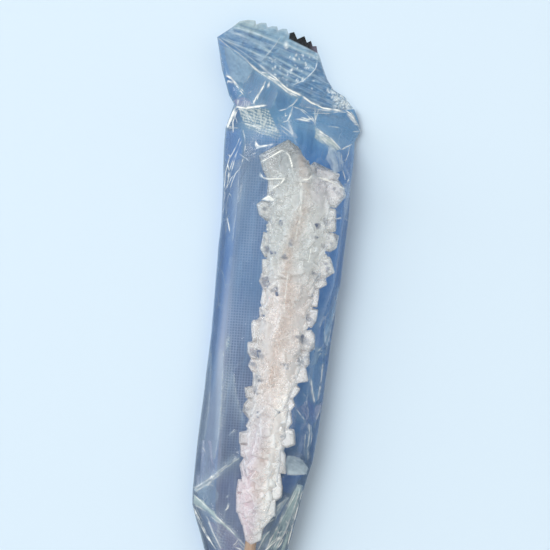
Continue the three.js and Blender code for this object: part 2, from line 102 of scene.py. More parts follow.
# Sharp creases of the film: centre line, half width of the bright line, brightness,
# brightness and width (sign = side) of the soft facet beside it, height of the ridge. The bright line is partly the
# whitening of creased film and partly painted highlight; the soft facet is painted sheen.
CREASES = [
    ([(-28.1, 94.4), (-24.6, 92.2), (-21.9, 91.0), (-19.5, 89.5), (-16.7, 87.7), (-15.3, 86.5)], 0.22, 0.45, 0.25, 0.9, 0.5),
    ([(-27.0, 94.4), (-23.0, 92.5), (-19.0, 90.5), (-16.3, 88.9)], 0.16, 0.32, 0.0, 1, 0.3),
    ([(-15.3, 86.5), (-12.8, 86.7), (-10.8, 85.7), (-9.4, 84.4), (-7.3, 83.1), (-5.0, 82.5), (-3.1, 82.0)], 0.32, 0.95, 0.35, -1.0, 0.8),
    ([(-12.7, 86.1), (-9.6, 83.7), (-7.2, 82.2), (-3.9, 81.4)], 0.3, 0.6, 0.2, -1.0, 0.4),
    ([(-3.1, 82.0), (-0.0, 80.3), (2.6, 79.5), (5.4, 79.5), (8.2, 79.5)], 0.24, 0.9, 0.3, -0.9, 0.8),
    ([(-0.7, 80.6), (2.2, 79.9)], 0.45, 0.8, 0.0, 1, 0.2),
    ([(-2.3, 78.8), (2.7, 78.8), (6.4, 78.9), (9.8, 79.2)], 0.16, 0.55, 0.0, 1, 0.3),
    ([(-24.3, 84.5), (-22.8, 84.0), (-21.0, 82.4), (-18.7, 80.5)], 0.22, 0.85, 0.2, -0.8, 0.7),
    ([(-23.7, 82.0), (-23.4, 82.9), (-21.6, 82.3)], 0.3, 0.7, 0.2, 0.8, 0.3),
    ([(-18.8, 80.5), (-18.0, 79.9)], 0.3, 0.7, 0, 1, 0.2),
    ([(-18.7, 80.5), (-20.2, 78.8), (-20.0, 76.3)], 0.2, 0.45, 0.1, 0.8, 0.4),
    ([(-20.0, 76.3), (-20.6, 75.6), (-21.9, 71.5), (-22.0, 70.7)], 0.26, 0.85, 0.15, 0.8, 0.7),
    ([(-19.9, 75.7), (-20.6, 72.1), (-20.0, 68.9)], 0.2, 0.75, 0.1, 0.8, 0.4),
    ([(-22.3, 70.3), (-18.4, 70.7)], 0.16, 0.5, 0, 1, 0.3),
    ([(-13.4, 83.8), (-14.5, 81.1), (-15.3, 79.4), (-15.7, 78.0), (-15.3, 77.2)], 0.22, 0.9, 0.15, 0.9, 0.7),
    ([(-12.4, 84.9), (-12.3, 82.5)], 0.3, 0.75, 0.1, 0.7, 0.3),
    ([(-19.7, 76.3), (-17.6, 76.2), (-15.2, 76.8), (-12.2, 77.5)], 0.24, 0.95, 0.35, -1.3, 0.7),
    ([(-19.3, 76.1), (-17.4, 74.9), (-16.1, 72.6)], 0.26, 0.7, 0.1, 0.8, 0.3),
    ([(-17.8, 72.1), (-15.7, 71.8), (-13.1, 71.1), (-10.6, 71.0), (-7.5, 71.0)], 0.22, 0.6, 0.25, 0.9, 0.3),
    ([(-3.8, 81.2), (-5.1, 79.0), (-7.0, 77.2), (-8.8, 76.6)], 0.17, 0.7, 0.08, 0.8, 0.5),
    ([(-5.2, 78.4), (-5.3, 76.0), (-6.0, 74.1), (-7.8, 73.2)], 0.2, 0.65, 0.12, 0.9, 0.5),
    ([(-6.9, 76.6), (-6.8, 75.3), (-6.0, 75.8)], 0.16, 0.7, 0, 1, 0.1),
    ([(-6.0, 74.0), (-4.7, 71.2), (-3.5, 69.2), (-2.6, 67.8)], 0.34, 0.42, 0.12, 0.9, 0.4),
    ([(-7.6, 71.5), (-4.6, 69.7)], 0.15, 0.55, 0, 1, 0.3),
    ([(-5.2, 78.4), (-2.8, 77.7), (-0.6, 76.1), (1.1, 74.9), (1.7, 73.2)], 0.18, 0.75, 0.1, -0.9, 0.6),
    ([(-3.4, 75.2), (-1.8, 74.9), (-0.0, 74.9)], 0.34, 0.85, 0, 1, 0.2),
    ([(2.0, 79.4), (1.5, 76.8), (1.3, 74.6), (1.8, 71.8)], 0.2, 0.55, 0.12, 0.9, 0.4),
    ([(1.7, 73.3), (4.3, 71.8), (6.7, 70.6), (9.3, 68.5)], 0.22, 0.95, 0.25, -1.2, 0.8),
    ([(2.2, 71.7), (4.4, 71.3)], 0.6, 0.8, 0, 1, 0.2),
    ([(3.8, 70.9), (6.8, 69.4)], 0.5, 0.45, 0, 1, 0.2),
    ([(9.3, 68.5), (10.5, 69.7), (11.8, 70.3)], 0.2, 0.85, 0.1, 0.8, 0.6),
    ([(11.5, 74.1), (14.0, 74.6)], 0.3, 0.45, 0.1, 0.9, 0.3),
    ([(9.6, 78.6), (11.4, 77.2), (12.9, 76.2)], 0.4, 0.6, 0.1, 0.9, 0.3),
    ([(11.5, 76.3), (13.5, 76.2)], 0.3, 0.6, 0, 1, 0.2),
    ([(-0.3, 91.6), (-0.5, 89.6), (-1.7, 87.9), (-3.3, 86.1), (-5.9, 84.5)], 0.15, 0.75, 0.12, -1.0, 0.5),
    ([(-11.1, 96.8), (-12.1, 94.6), (-13.6, 92.1), (-15.8, 89.1)], 0.22, 0.35, 0.1, 1.0, 0.3),
    ([(-17.1, 86.2), (-19.4, 82.4)], 0.13, 0.4, 0, 1, 0.3),
    ([(-11.6, 62.1), (-9.5, 63.4), (-6.7, 65.8), (-5.4, 65.7), (-4.2, 64.7), (-3.2, 62.6), (-2.6, 59.9)], 0.14, 0.85, 0.14, 0.9, 0.35),
    ([(-13.9, 67.7), (-13.1, 66.5), (-11.7, 66.3), (-8.8, 67.2)], 0.3, 0.85, 0.1, 0.8, 0.4),
    ([(-13.9, 67.4), (-13.3, 65.9), (-12.8, 65.4)], 0.3, 0.6, 0, 1, 0.1),
    ([(-14.4, 63.9), (-12.5, 64.8)], 0.2, 0.4, 0, 1, 0.2),
    ([(-11.5, 59.4), (-10.4, 58.1), (-8.5, 57.9), (-5.7, 58.4), (-4.6, 58.4), (-5.5, 57.0), (-7.2, 55.8)], 0.18, 0.8, 0.1, 0.8, 0.35),
    ([(-7.7, 58.9), (-5.9, 59.8), (-4.6, 58.7)], 0.13, 0.6, 0, 1, 0.2),
    ([(-0.5, 58.8), (1.4, 58.9), (2.7, 60.8)], 0.14, 0.75, 0.08, 0.8, 0.3),
    ([(-2.0, 61.6), (0.2, 61.2)], 0.13, 0.5, 0, 1, 0.2),
    ([(-6.7, 65.6), (-6.7, 63.1), (-6.4, 61.0)], 0.13, 0.35, 0, 1, 0.2),
    ([(-18.0, 68.4), (-18.6, 66.1), (-19.3, 64.2), (-20.2, 61.9), (-20.7, 58.3), (-20.4, 54.0)], 0.16, 0.72, 0, 1, 0.25),
    ([(-17.5, 67.9), (-18.1, 64.6), (-19.1, 62.0), (-19.6, 59.4), (-19.7, 54.0)], 0.15, 0.64, 0, 1, 0.2),
    ([(-21.0, 63.2), (-20.1, 63.1), (-20.4, 60.6), (-19.8, 59.0), (-19.8, 56.9)], 0.16, 0.82, 0.05, 0.6, 0.2),
    ([(-18.3, 63.9), (-18.7, 61.8), (-19.0, 59.5), (-19.4, 57.9)], 0.15, 0.72, 0, 1, 0.2),
    ([(-17.9, 63.9), (-16.3, 63.0), (-14.6, 62.0)], 0.17, 0.77, 0, 1, 0.2),
    ([(-16.3, 63.0), (-17.0, 59.5), (-16.7, 54.5)], 0.16, 0.64, 0, 1, 0.2),
    ([(-18.2, 58.1), (-18.9, 57.0), (-19.6, 54.7)], 0.15, 0.62, 0, 1, 0.2),
    ([(-16.9, 59.8), (-17.9, 58.4), (-18.5, 56.1), (-18.8, 54.2)], 0.15, 0.64, 0, 1, 0.2),
    ([(-17.7, 70.7), (-16.7, 68.0), (-16.3, 66.2), (-16.3, 63.9)], 0.19, 0.72, 0.06, 0.7, 0.3),
    ([(9.4, 68.2), (10.2, 63.3), (11.6, 60.3)], 0.16, 0.67, 0.06, 0.7, 0.4),
    ([(11.5, 70.1), (11.4, 67.8), (10.8, 65.5)], 0.16, 0.67, 0.05, 0.7, 0.3),
    ([(12.4, 61.1), (11.9, 59.4)], 0.28, 0.95, 0, 1, 0.2),
    ([(-4.5, 58.7), (-5.5, 57.0), (-7.2, 55.6), (-8.1, 55.2)], 0.14, 0.8, 0.08, 0.8, 0.3),
    ([(-0.6, 59.3), (0.3, 56.6), (0.6, 53.8), (0.8, 50.1), (0.8, 47.0), (0.5, 45.0), (0.4, 41.9)], 0.13, 0.6, 0.08, 0.8, 0.35),
    ([(4.1, 59.9), (6.6, 59.6), (9.2, 59.1), (11.3, 58.1)], 0.15, 0.8, 0.12, 0.9, 0.35),
    ([(11.5, 58.5), (11.9, 58.1)], 0.21, 0.9, 0, 1, 0.1),
    ([(5.0, 41.6), (4.8, 39.4), (4.7, 36.5)], 0.14, 0.9, 0.08, 0.8, 0.3),
    ([(-0.2, 34.9), (-0.2, 31.8), (-0.1, 28.7), (-0.1, 25.8), (0.5, 22.4)], 0.13, 0.6, 0.08, 0.8, 0.3),
    ([(2.6, 28.4), (2.8, 26.5)], 0.13, 0.5, 0, 1, 0.2),
    ([(-18.6, 46.7), (-17.8, 44.3), (-17.2, 42.5)], 0.2, 0.75, 0, 1, 0.25),
    ([(-17.4, 41.1), (-17.2, 40.8)], 0.22, 0.7, 0, 1, 0.1),
    ([(-19.6, 56.3), (-20.3, 52.4), (-19.8, 47.2)], 0.13, 0.4, 0, 1, 0.25),
    ([(-19.4, 53.5), (-17.5, 51.5)], 0.16, 0.5, 0, 1, 0.2),
    ([(-18.1, 54.9), (-18.8, 53.3), (-19.3, 50.7)], 0.12, 0.35, 0, 1, 0.2),
    ([(-16.8, 57.0), (-16.4, 52.7), (-16.4, 49.5), (-16.3, 44.5), (-16.1, 39.6)], 0.2, 0.3, 0.12, 0.9, 0.4),
    ([(-19.5, 50.3), (-18.7, 46.4), (-18.3, 41.8)], 0.14, 0.3, 0, 1, 0.2),
    ([(10.6, 50.0), (12.0, 50.6)], 0.21, 0.85, 0, 1, 0.2),
    ([(11.1, 59.0), (12.8, 60.2)], 0.13, 0.5, 0, 1, 0.2),
    ([(7.5, 53.2), (10.3, 51.7), (14.3, 49.8)], 0.13, 0.4, 0.12, -1.2, 0.3),
    ([(-9.9, 52.2), (-8.1, 53.4), (-6.3, 52.5)], 0.21, 0.8, 0, 1, 0.2),
    ([(-9.2, 52.2), (-6.3, 52.4)], 0.28, 0.85, 0, 1, 0.1),
    ([(-1.4, 40.9), (0.5, 41.0)], 0.17, 0.55, 0, 1, 0.1),
    ([(11.3, 24.0), (10.7, 22.0), (9.8, 20.0)], 0.21, 0.35, 0.2, 1.2, 0.4),
    ([(12.6, 19.5), (12.0, 16.0), (10.3, 13.8)], 0.22, 0.4, 0.2, 1.2, 0.5),
    ([(13.2, 30.5), (12.9, 26.7), (11.4, 23.6), (11.7, 19.4), (12.8, 16.1)], 0.16, 0.35, 0.1, -1.0, 0.4),
    ([(11.1, 14.6), (12.8, 14.3)], 0.25, 0.5, 0, 1, 0.2),
    ([(-17.5, -28.0), (-15.7, -25.9), (-13.5, -23.7), (-11.3, -22.0), (-8.9, -19.3), (-6.2, -16.5)], 0.24, 0.3, 0.28, 1.2, 0.8),
    ([(-17.0, -28.6), (-14.3, -25.9), (-12.4, -23.9), (-9.7, -21.1)], 0.16, 0.38, 0.1, -0.8, 0.3),
    ([(-17.4, -28.3), (-14.3, -30.8), (-10.4, -33.3), (-5.9, -35.8), (-3.6, -37.6), (-1.4, -40.5)], 0.2, 0.34, 0.14, 1.1, 0.8),
    ([(-16.9, -32.2), (-13.9, -36.3), (-11.2, -40.0), (-9.1, -42.6)], 0.24, 0.72, 0.1, 0.9, 0.6),
    ([(-16.3, -32.1), (-13.2, -36.2), (-10.2, -39.9), (-8.1, -42.5)], 0.14, 0.38, 0, 1, 0.3),
    ([(-17.0, -31.4), (-14.8, -32.3), (-12.3, -34.6), (-10.4, -37.9), (-7.8, -41.7)], 0.16, 0.42, 0.18, 1.0, 0.5),
    ([(-15.6, -26.6), (-12.9, -25.3), (-11.5, -25.9)], 0.15, 0.38, 0, 1, 0.2),
    ([(-13.6, -23.8), (-12.9, -23.0), (-12.4, -24.1)], 0.26, 0.46, 0, 1, 0.2),
    ([(-11.7, -25.8), (-11.4, -26.0)], 0.28, 0.72, 0, 1, 0.1),
    ([(-10.8, -32.5), (-10.5, -32.6)], 0.22, 0.65, 0, 1, 0.1),
    ([(-7.6, -26.9), (-8.0, -28.2)], 0.2, 0.38, 0, 1, 0.2),
    ([(-7.5, -29.2), (-7.6, -30.9), (-8.3, -31.7)], 0.24, 0.61, 0, 1, 0.2),
    ([(6.8, -19.4), (9.2, -19.5), (11.2, -19.1), (12.4, -18.6)], 0.16, 0.3, 0.25, -1.6, 0.3),
    ([(10.6, -22.1), (9.9, -25.0), (8.2, -29.7), (5.9, -35.6), (4.6, -38.6)], 0.2, 0.46, 0.3, 1.5, 0.7),
    ([(12.0, -23.2), (11.4, -27.2), (10.4, -32.6), (9.7, -40.0)], 0.2, 0.53, 0.12, 1.0, 0.6),
    ([(7.9, -25.9), (6.6, -27.8), (5.5, -30.1)], 0.22, 0.38, 0.15, 1.0, 0.3),
    ([(5.9, -40.5), (6.9, -37.8), (8.1, -36.2)], 0.2, 0.61, 0.1, 0.8, 0.3),
    ([(3.9, -40.8), (5.6, -38.1), (8.0, -36.0)], 0.16, 0.46, 0, 1, 0.3),
    ([(4.6, -40.7), (4.9, -38.5), (5.0, -36.6)], 0.2, 0.46, 0, 1, 0.2),
    ([(8.9, 8.7), (10.5, 2.9), (11.7, -0.0)], 0.26, 0.36, 0.15, 1.0, 0.5),
    ([(12.4, 10.2), (12.8, 4.3), (12.4, 0.8)], 0.28, 0.44, 0.15, -1.2, 0.6),
    ([(6.6, -1.4), (9.9, -4.5)], 0.16, 0.5, 0.1, 1.0, 0.3),
    ([(10.9, -4.9), (11.7, -8.0), (11.4, -13.3)], 0.26, 0.38, 0.12, 1.0, 0.5),
    ([(13.9, -0.4), (12.9, -3.7), (12.4, -7.5)], 0.18, 0.4, 0.1, 1.0, 0.4),
    ([(7.9, 3.0), (9.7, 1.2), (9.6, -1.0)], 0.14, 0.35, 0.1, 1.0, 0.3),
    ([(-2.7, -22.6), (-0.3, -20.8), (1.9, -17.4), (1.9, -14.3)], 0.15, 0.4, 0.1, 0.8, 0.3),
    ([(-2.8, -8.3), (-0.7, -11.4), (1.5, -14.6)], 0.15, 0.35, 0.08, 0.8, 0.3),
    ([(-2.6, -8.4), (-0.3, -6.5), (2.2, -4.8)], 0.13, 0.3, 0, 1, 0.2),
    ([(-17.2, -15.1), (-15.1, -17.4)], 0.15, 0.4, 0.1, 0.8, 0.3),
    ([(-17.9, 10.5), (-17.0, 3.7), (-16.3, -3.9), (-16.2, -11.5), (-16.4, -15.7)], 0.2, 0.28, 0.16, 1.3, 0.5),
    ([(-14.5, 11.0), (-13.8, 4.1), (-13.0, -3.4), (-12.6, -13.1), (-12.8, -18.8)], 0.26, 0.3, 0.2, 1.4, 0.5),
    ([(-11.0, 5.5), (-9.6, 0.2), (-7.5, -4.7), (-6.1, -7.3)], 0.35, 0.25, 0.2, 1.6, 0.4),
    ([(-10.4, -11.4), (-8.8, -10.1), (-7.8, -9.7)], 0.4, 0.35, 0.2, 1.0, 0.2),
    ([(-5.0, -41.7), (-3.3, -39.6), (-1.0, -41.4)], 0.2, 0.38, 0, 1, 0.2),
    ([(-5.1, -42.0), (-4.5, -40.8), (-1.7, -41.4)], 0.3, 0.53, 0, 1, 0.2),
    ([(-16.1, 88.8), (-12.7, 86.7), (-10.4, 85.4), (-7.5, 83.2), (-5.0, 82.3), (-3.1, 81.7)], 0.3, 0.95, 0.3, -0.8, 0.6),
    ([(-20.2, 89.9), (-17.0, 87.6), (-13.6, 85.7), (-9.6, 83.7), (-5.7, 81.4), (-4.8, 81.0)], 0.38, 0.55, 0.3, 0.9, 0.4),
    ([(-13.6, 86.0), (-10.3, 84.9), (-6.9, 82.8), (-4.2, 81.9)], 0.3, 0.75, 0.2, 0.8, 0.3),
    ([(-3.1, 81.7), (-0.3, 80.3), (1.8, 79.8)], 0.32, 0.85, 0.25, -0.8, 0.5),
    ([(0.2, 80.4), (2.2, 79.8)], 0.5, 0.85, 0, 1, 0.3),
    ([(2.4, 79.3), (5.3, 79.3), (8.4, 79.4)], 0.26, 0.95, 0.2, 0.8, 0.5),
    ([(8.4, 79.4), (5.2, 78.2), (2.4, 77.7), (-0.9, 76.8)], 0.18, 0.55, 0.2, 0.8, 0.3),
    ([(-24.6, 84.5), (-22.7, 83.7), (-20.9, 81.9), (-18.8, 79.8), (-18.2, 79.7)], 0.2, 0.9, 0.2, -0.8, 0.5),
    ([(-23.7, 81.8), (-23.4, 83.0), (-21.7, 82.8), (-21.3, 81.7)], 0.3, 0.8, 0.2, 0.8, 0.3),
    ([(-18.2, 79.7), (-16.4, 81.4)], 0.15, 0.5, 0, 1, 0.2),
    ([(-13.4, 84.5), (-13.7, 82.9), (-14.8, 79.8), (-15.0, 78.7)], 0.22, 0.95, 0.2, 0.8, 0.6),
    ([(-16.0, 78.9), (-15.5, 77.3)], 0.26, 0.75, 0.15, 0.8, 0.2),
    ([(-12.5, 84.2), (-12.6, 82.4)], 0.38, 0.85, 0, 1, 0.3),
    ([(-20.6, 76.4), (-17.7, 76.2), (-15.2, 77.0), (-12.1, 77.7)], 0.3, 0.95, 0.3, -1.0, 0.6),
    ([(-20.1, 76.7), (-20.6, 74.3), (-21.7, 71.6)], 0.5, 0.6, 0.2, 0.8, 0.5),
    ([(-20.6, 76.3), (-21.2, 74.0), (-21.9, 71.8)], 0.2, 0.9, 0.1, 0.8, 0.4),
    ([(-19.8, 76.1), (-18.2, 75.7), (-16.1, 73.9), (-14.8, 72.5)], 0.26, 0.75, 0.15, 0.8, 0.3),
    ([(-4.1, 81.3), (-5.1, 79.1), (-6.7, 77.5), (-8.6, 76.5)], 0.2, 0.65, 0.1, 0.8, 0.4),
    ([(-5.1, 78.9), (-5.3, 77.5), (-5.8, 75.1), (-6.1, 73.8)], 0.2, 0.65, 0.1, 0.8, 0.4),
    ([(-4.5, 78.4), (-2.0, 77.7), (0.3, 76.2), (1.3, 75.0)], 0.17, 0.75, 0.1, 0.8, 0.4),
    ([(-4.2, 74.9), (-0.9, 75.0)], 0.3, 0.85, 0.1, 0.8, 0.3),
    ([(1.8, 78.5), (1.6, 76.7), (1.3, 74.8)], 0.15, 0.55, 0.1, 0.8, 0.3),
    ([(9.5, 79.1), (11.5, 77.8), (12.8, 76.4)], 0.4, 0.7, 0.2, 0.8, 0.4),
    ([(8.9, 79.8), (10.6, 79.0), (12.4, 77.1)], 0.22, 0.8, 0.1, 0.8, 0.3),
    ([(-27.6, 92.9), (-24.6, 84.5)], 0.16, 0.3, 0.1, 0.8, 0.2),
    ([(-18.3, 79.6), (-18.3, 77.8), (-17.8, 76.4)], 0.16, 0.5, 0.1, 0.8, 0.2),
    ([(-9.7, 82.4), (-10.1, 79.7), (-10.3, 77.3)], 0.16, 0.3, 0.15, 1.0, 0.3),
    ([(-17.4, 86.5), (-19.1, 82.6)], 0.16, 0.35, 0.15, -1.2, 0.3),
    ([(-19.8, 78.9), (-20.0, 76.9)], 0.3, 0.55, 0.1, 0.8, 0.2),
    ([(-22.8, 72.5), (-21.8, 70.6), (-20.5, 75.9)], 0.26, 0.85, 0.15, 0.8, 0.4),
    ([(-22.0, 70.7), (-20.4, 70.8)], 0.2, 0.7, 0, 1, 0.2),
    ([(-20.4, 70.8), (-20.0, 68.8)], 0.18, 0.75, 0, 1, 0.2),
    ([(-18.7, 72.3), (-14.5, 71.6), (-9.7, 71.8), (-7.4, 70.6)], 0.16, 0.6, 0.1, 0.8, 0.2),
    ([(-8.2, 72.9), (-4.8, 70.9), (-2.9, 69.2)], 0.17, 0.6, 0.1, 0.8, 0.3),
    ([(-6.1, 74.9), (-4.2, 71.0), (-3.9, 69.7)], 0.24, 0.5, 0.15, 0.9, 0.4),
    ([(0.8, 79.6), (1.0, 77.2), (1.6, 73.9)], 0.18, 0.7, 0.1, 0.8, 0.4),
    ([(-2.8, 75.7), (-0.7, 75.3), (1.1, 75.9)], 0.26, 0.75, 0, 1, 0.2),
    ([(2.1, 72.6), (6.0, 71.1), (9.1, 68.7)], 0.24, 0.95, 0.3, -1.0, 0.6),
    ([(2.6, 71.3), (5.3, 69.3), (7.8, 68.0)], 0.35, 0.55, 0.2, -0.8, 0.3),
    ([(9.1, 68.5), (9.9, 68.9), (12.2, 70.9)], 0.18, 0.75, 0.1, 0.8, 0.4),
    ([(4.2, 74.3), (8.3, 74.5)], 0.26, 0.4, 0.15, 1.0, 0.3),
    ([(10.3, 79.9), (11.9, 78.1), (14.5, 73.7)], 0.2, 0.5, 0.15, 0.8, 0.3),
    ([(-13.9, 67.7), (-13.0, 66.4), (-9.7, 66.6)], 0.3, 0.8, 0.1, 0.8, 0.3),
    ([(-14.6, 63.8), (-12.6, 64.7)], 0.16, 0.5, 0, 1, 0.2),
    ([(-11.3, 62.1), (-8.8, 64.0), (-6.4, 65.7)], 0.14, 0.85, 0.1, 0.8, 0.3),
    ([(-6.0, 65.8), (-4.3, 64.7), (-3.3, 62.2), (-2.5, 59.8)], 0.14, 0.85, 0.1, 0.8, 0.3),
    ([(-11.3, 59.2), (-10.2, 57.9), (-8.8, 57.8), (-4.7, 58.6)], 0.17, 0.85, 0.1, 0.8, 0.3),
    ([(-4.7, 58.6), (-5.6, 56.9), (-7.7, 55.5)], 0.13, 0.75, 0.1, 0.8, 0.2),
    ([(-0.4, 58.9), (-0.1, 57.4), (0.3, 53.6), (1.1, 48.1), (0.5, 45.2), (0.4, 42.4)], 0.13, 0.62, 0.1, 0.8, 0.2),
    ([(2.9, 60.0), (6.2, 60.0), (9.2, 58.7), (12.0, 58.0)], 0.2, 0.7, 0.15, -0.8, 0.3),
    ([(-0.3, 58.8), (1.9, 59.3), (2.6, 60.3)], 0.14, 0.8, 0, 1, 0.2),
    ([(4.7, 41.5), (4.7, 38.0)], 0.13, 0.8, 0, 1, 0.2),
    ([(7.8, 49.6), (11.9, 50.2)], 0.21, 0.75, 0, 1, 0.2),
    ([(-17.4, -27.6), (-15.4, -25.6), (-12.6, -23.1), (-9.8, -19.8), (-6.5, -16.5)], 0.3, 0.34, 0.3, -0.9, 0.5),
    ([(-16.9, -28.1), (-13.6, -25.4), (-11.7, -23.6)], 0.27, 0.42, 0.2, 0.8, 0.3),
    ([(-15.4, -26.0), (-12.9, -25.4)], 0.27, 0.57, 0, 1, 0.2),
    ([(-17.3, -28.9), (-14.8, -30.3), (-12.2, -32.0), (-9.0, -34.3), (-6.2, -36.2), (-3.4, -38.5), (-1.0, -40.4)], 0.27, 0.46, 0.22, 1.0, 0.5),
    ([(-15.6, -31.7), (-13.4, -32.8), (-10.4, -34.5), (-8.4, -35.3)], 0.27, 0.42, 0.2, 0.8, 0.3),
    ([(-16.4, -33.1), (-14.6, -36.1), (-11.8, -39.7), (-9.0, -42.5)], 0.27, 0.72, 0.12, 0.8, 0.4),
    ([(-12.4, -35.0), (-10.0, -38.8), (-7.4, -42.6)], 0.27, 0.46, 0.2, -0.9, 0.4),
    ([(-16.8, -31.8), (-14.9, -32.0)], 0.27, 0.46, 0.1, 0.8, 0.2),
    ([(-8.4, -28.2), (-7.6, -27.0)], 0.27, 0.46, 0, 1, 0.2),
    ([(-7.3, -29.3), (-7.3, -30.5), (-8.1, -31.6)], 0.3, 0.57, 0, 1, 0.2),
    ([(-3.4, -38.3), (-4.0, -39.8), (-5.1, -41.0)], 0.27, 0.46, 0, 1, 0.2),
    ([(-3.4, -38.5), (-2.7, -37.4)], 0.27, 0.42, 0, 1, 0.2),
    ([(-1.7, -41.4), (-0.0, -41.5)], 0.3, 0.53, 0, 1, 0.2),
    ([(10.2, -22.1), (9.2, -25.3), (7.7, -29.9), (5.8, -35.8), (4.2, -40.6)], 0.27, 0.42, 0.3, 1.2, 0.6),
    ([(11.2, -22.1), (10.7, -25.9), (9.6, -31.3), (8.7, -35.1), (6.7, -40.4)], 0.27, 0.46, 0.25, 1.0, 0.5),
    ([(11.8, -23.4), (11.2, -27.7), (10.6, -32.6), (10.0, -37.3), (9.9, -40.1)], 0.27, 0.65, 0.2, 0.9, 0.5),
    ([(11.4, -26.6), (10.7, -30.5), (10.4, -33.0)], 0.27, 0.46, 0.1, 0.8, 0.3),
    ([(7.8, -36.4), (5.8, -38.7), (3.8, -41.0)], 0.27, 0.68, 0.15, 0.8, 0.3),
    ([(8.8, -36.2), (7.9, -38.6), (6.7, -40.6)], 0.27, 0.61, 0.1, 0.8, 0.3),
    ([(5.5, -28.7), (6.7, -27.1), (8.0, -25.5)], 0.27, 0.53, 0.2, -0.9, 0.4),
    ([(4.7, -34.9), (3.5, -36.9), (2.3, -40.4), (2.0, -41.2)], 0.27, 0.42, 0.2, 0.8, 0.4),
    ([(8.6, -25.8), (7.9, -28.2), (6.7, -32.7)], 0.27, 0.3, 0.2, -1.0, 0.3),
    ([(-1.5, -22.2), (0.4, -20.7), (2.1, -18.1)], 0.3, 0.38, 0.15, 0.8, 0.2),
    ([(5.5, -31.6), (3.4, -33.4), (2.1, -34.6)], 0.27, 0.38, 0.1, 0.8, 0.2),
    ([(9.8, 6.7), (10.6, 3.6), (11.8, 0.3)], 0.22, 0.7, 0.15, -0.8, 0.5),
    ([(12.4, 11.2), (12.6, 7.4), (12.5, 3.9), (12.3, 1.6)], 0.2, 0.7, 0.15, 0.9, 0.5),
    ([(6.9, -1.6), (8.2, -3.0), (9.8, -4.6)], 0.2, 0.6, 0.12, 0.8, 0.4),
    ([(10.8, -4.9), (11.4, -7.4), (11.6, -11.5), (12.1, -15.3)], 0.2, 0.55, 0.15, 0.8, 0.5),
    ([(10.4, -7.5), (10.6, -11.3), (11.3, -15.1)], 0.16, 0.45, 0.1, 0.8, 0.4),
    ([(11.5, -5.3), (12.2, -8.3), (12.3, -11.4)], 0.16, 0.5, 0.1, 0.8, 0.3),
    ([(9.4, 22.8), (10.4, 23.1), (11.5, 24.1)], 0.2, 0.35, 0.2, 1.0, 0.4),
    ([(12.8, 17.5), (13.0, 14.4), (12.8, 13.0)], 0.22, 0.5, 0.15, 0.9, 0.4),
    ([(10.6, 13.2), (11.9, 13.9), (12.9, 13.9)], 0.22, 0.35, 0.2, 0.9, 0.4),
    ([(14.1, 32.7), (13.7, 26.0), (13.3, 20.0), (13.1, 15.1)], 0.3, 0.3, 0.25, 1.2, 0.4),
    ([(9.7, 1.2), (9.2, 3.4), (9.4, 5.6)], 0.18, 0.3, 0.1, 0.8, 0.3),
    ([(13.6, 0.6), (13.2, -2.3), (12.8, -4.8)], 0.25, 0.3, 0.2, 1.0, 0.4),
]

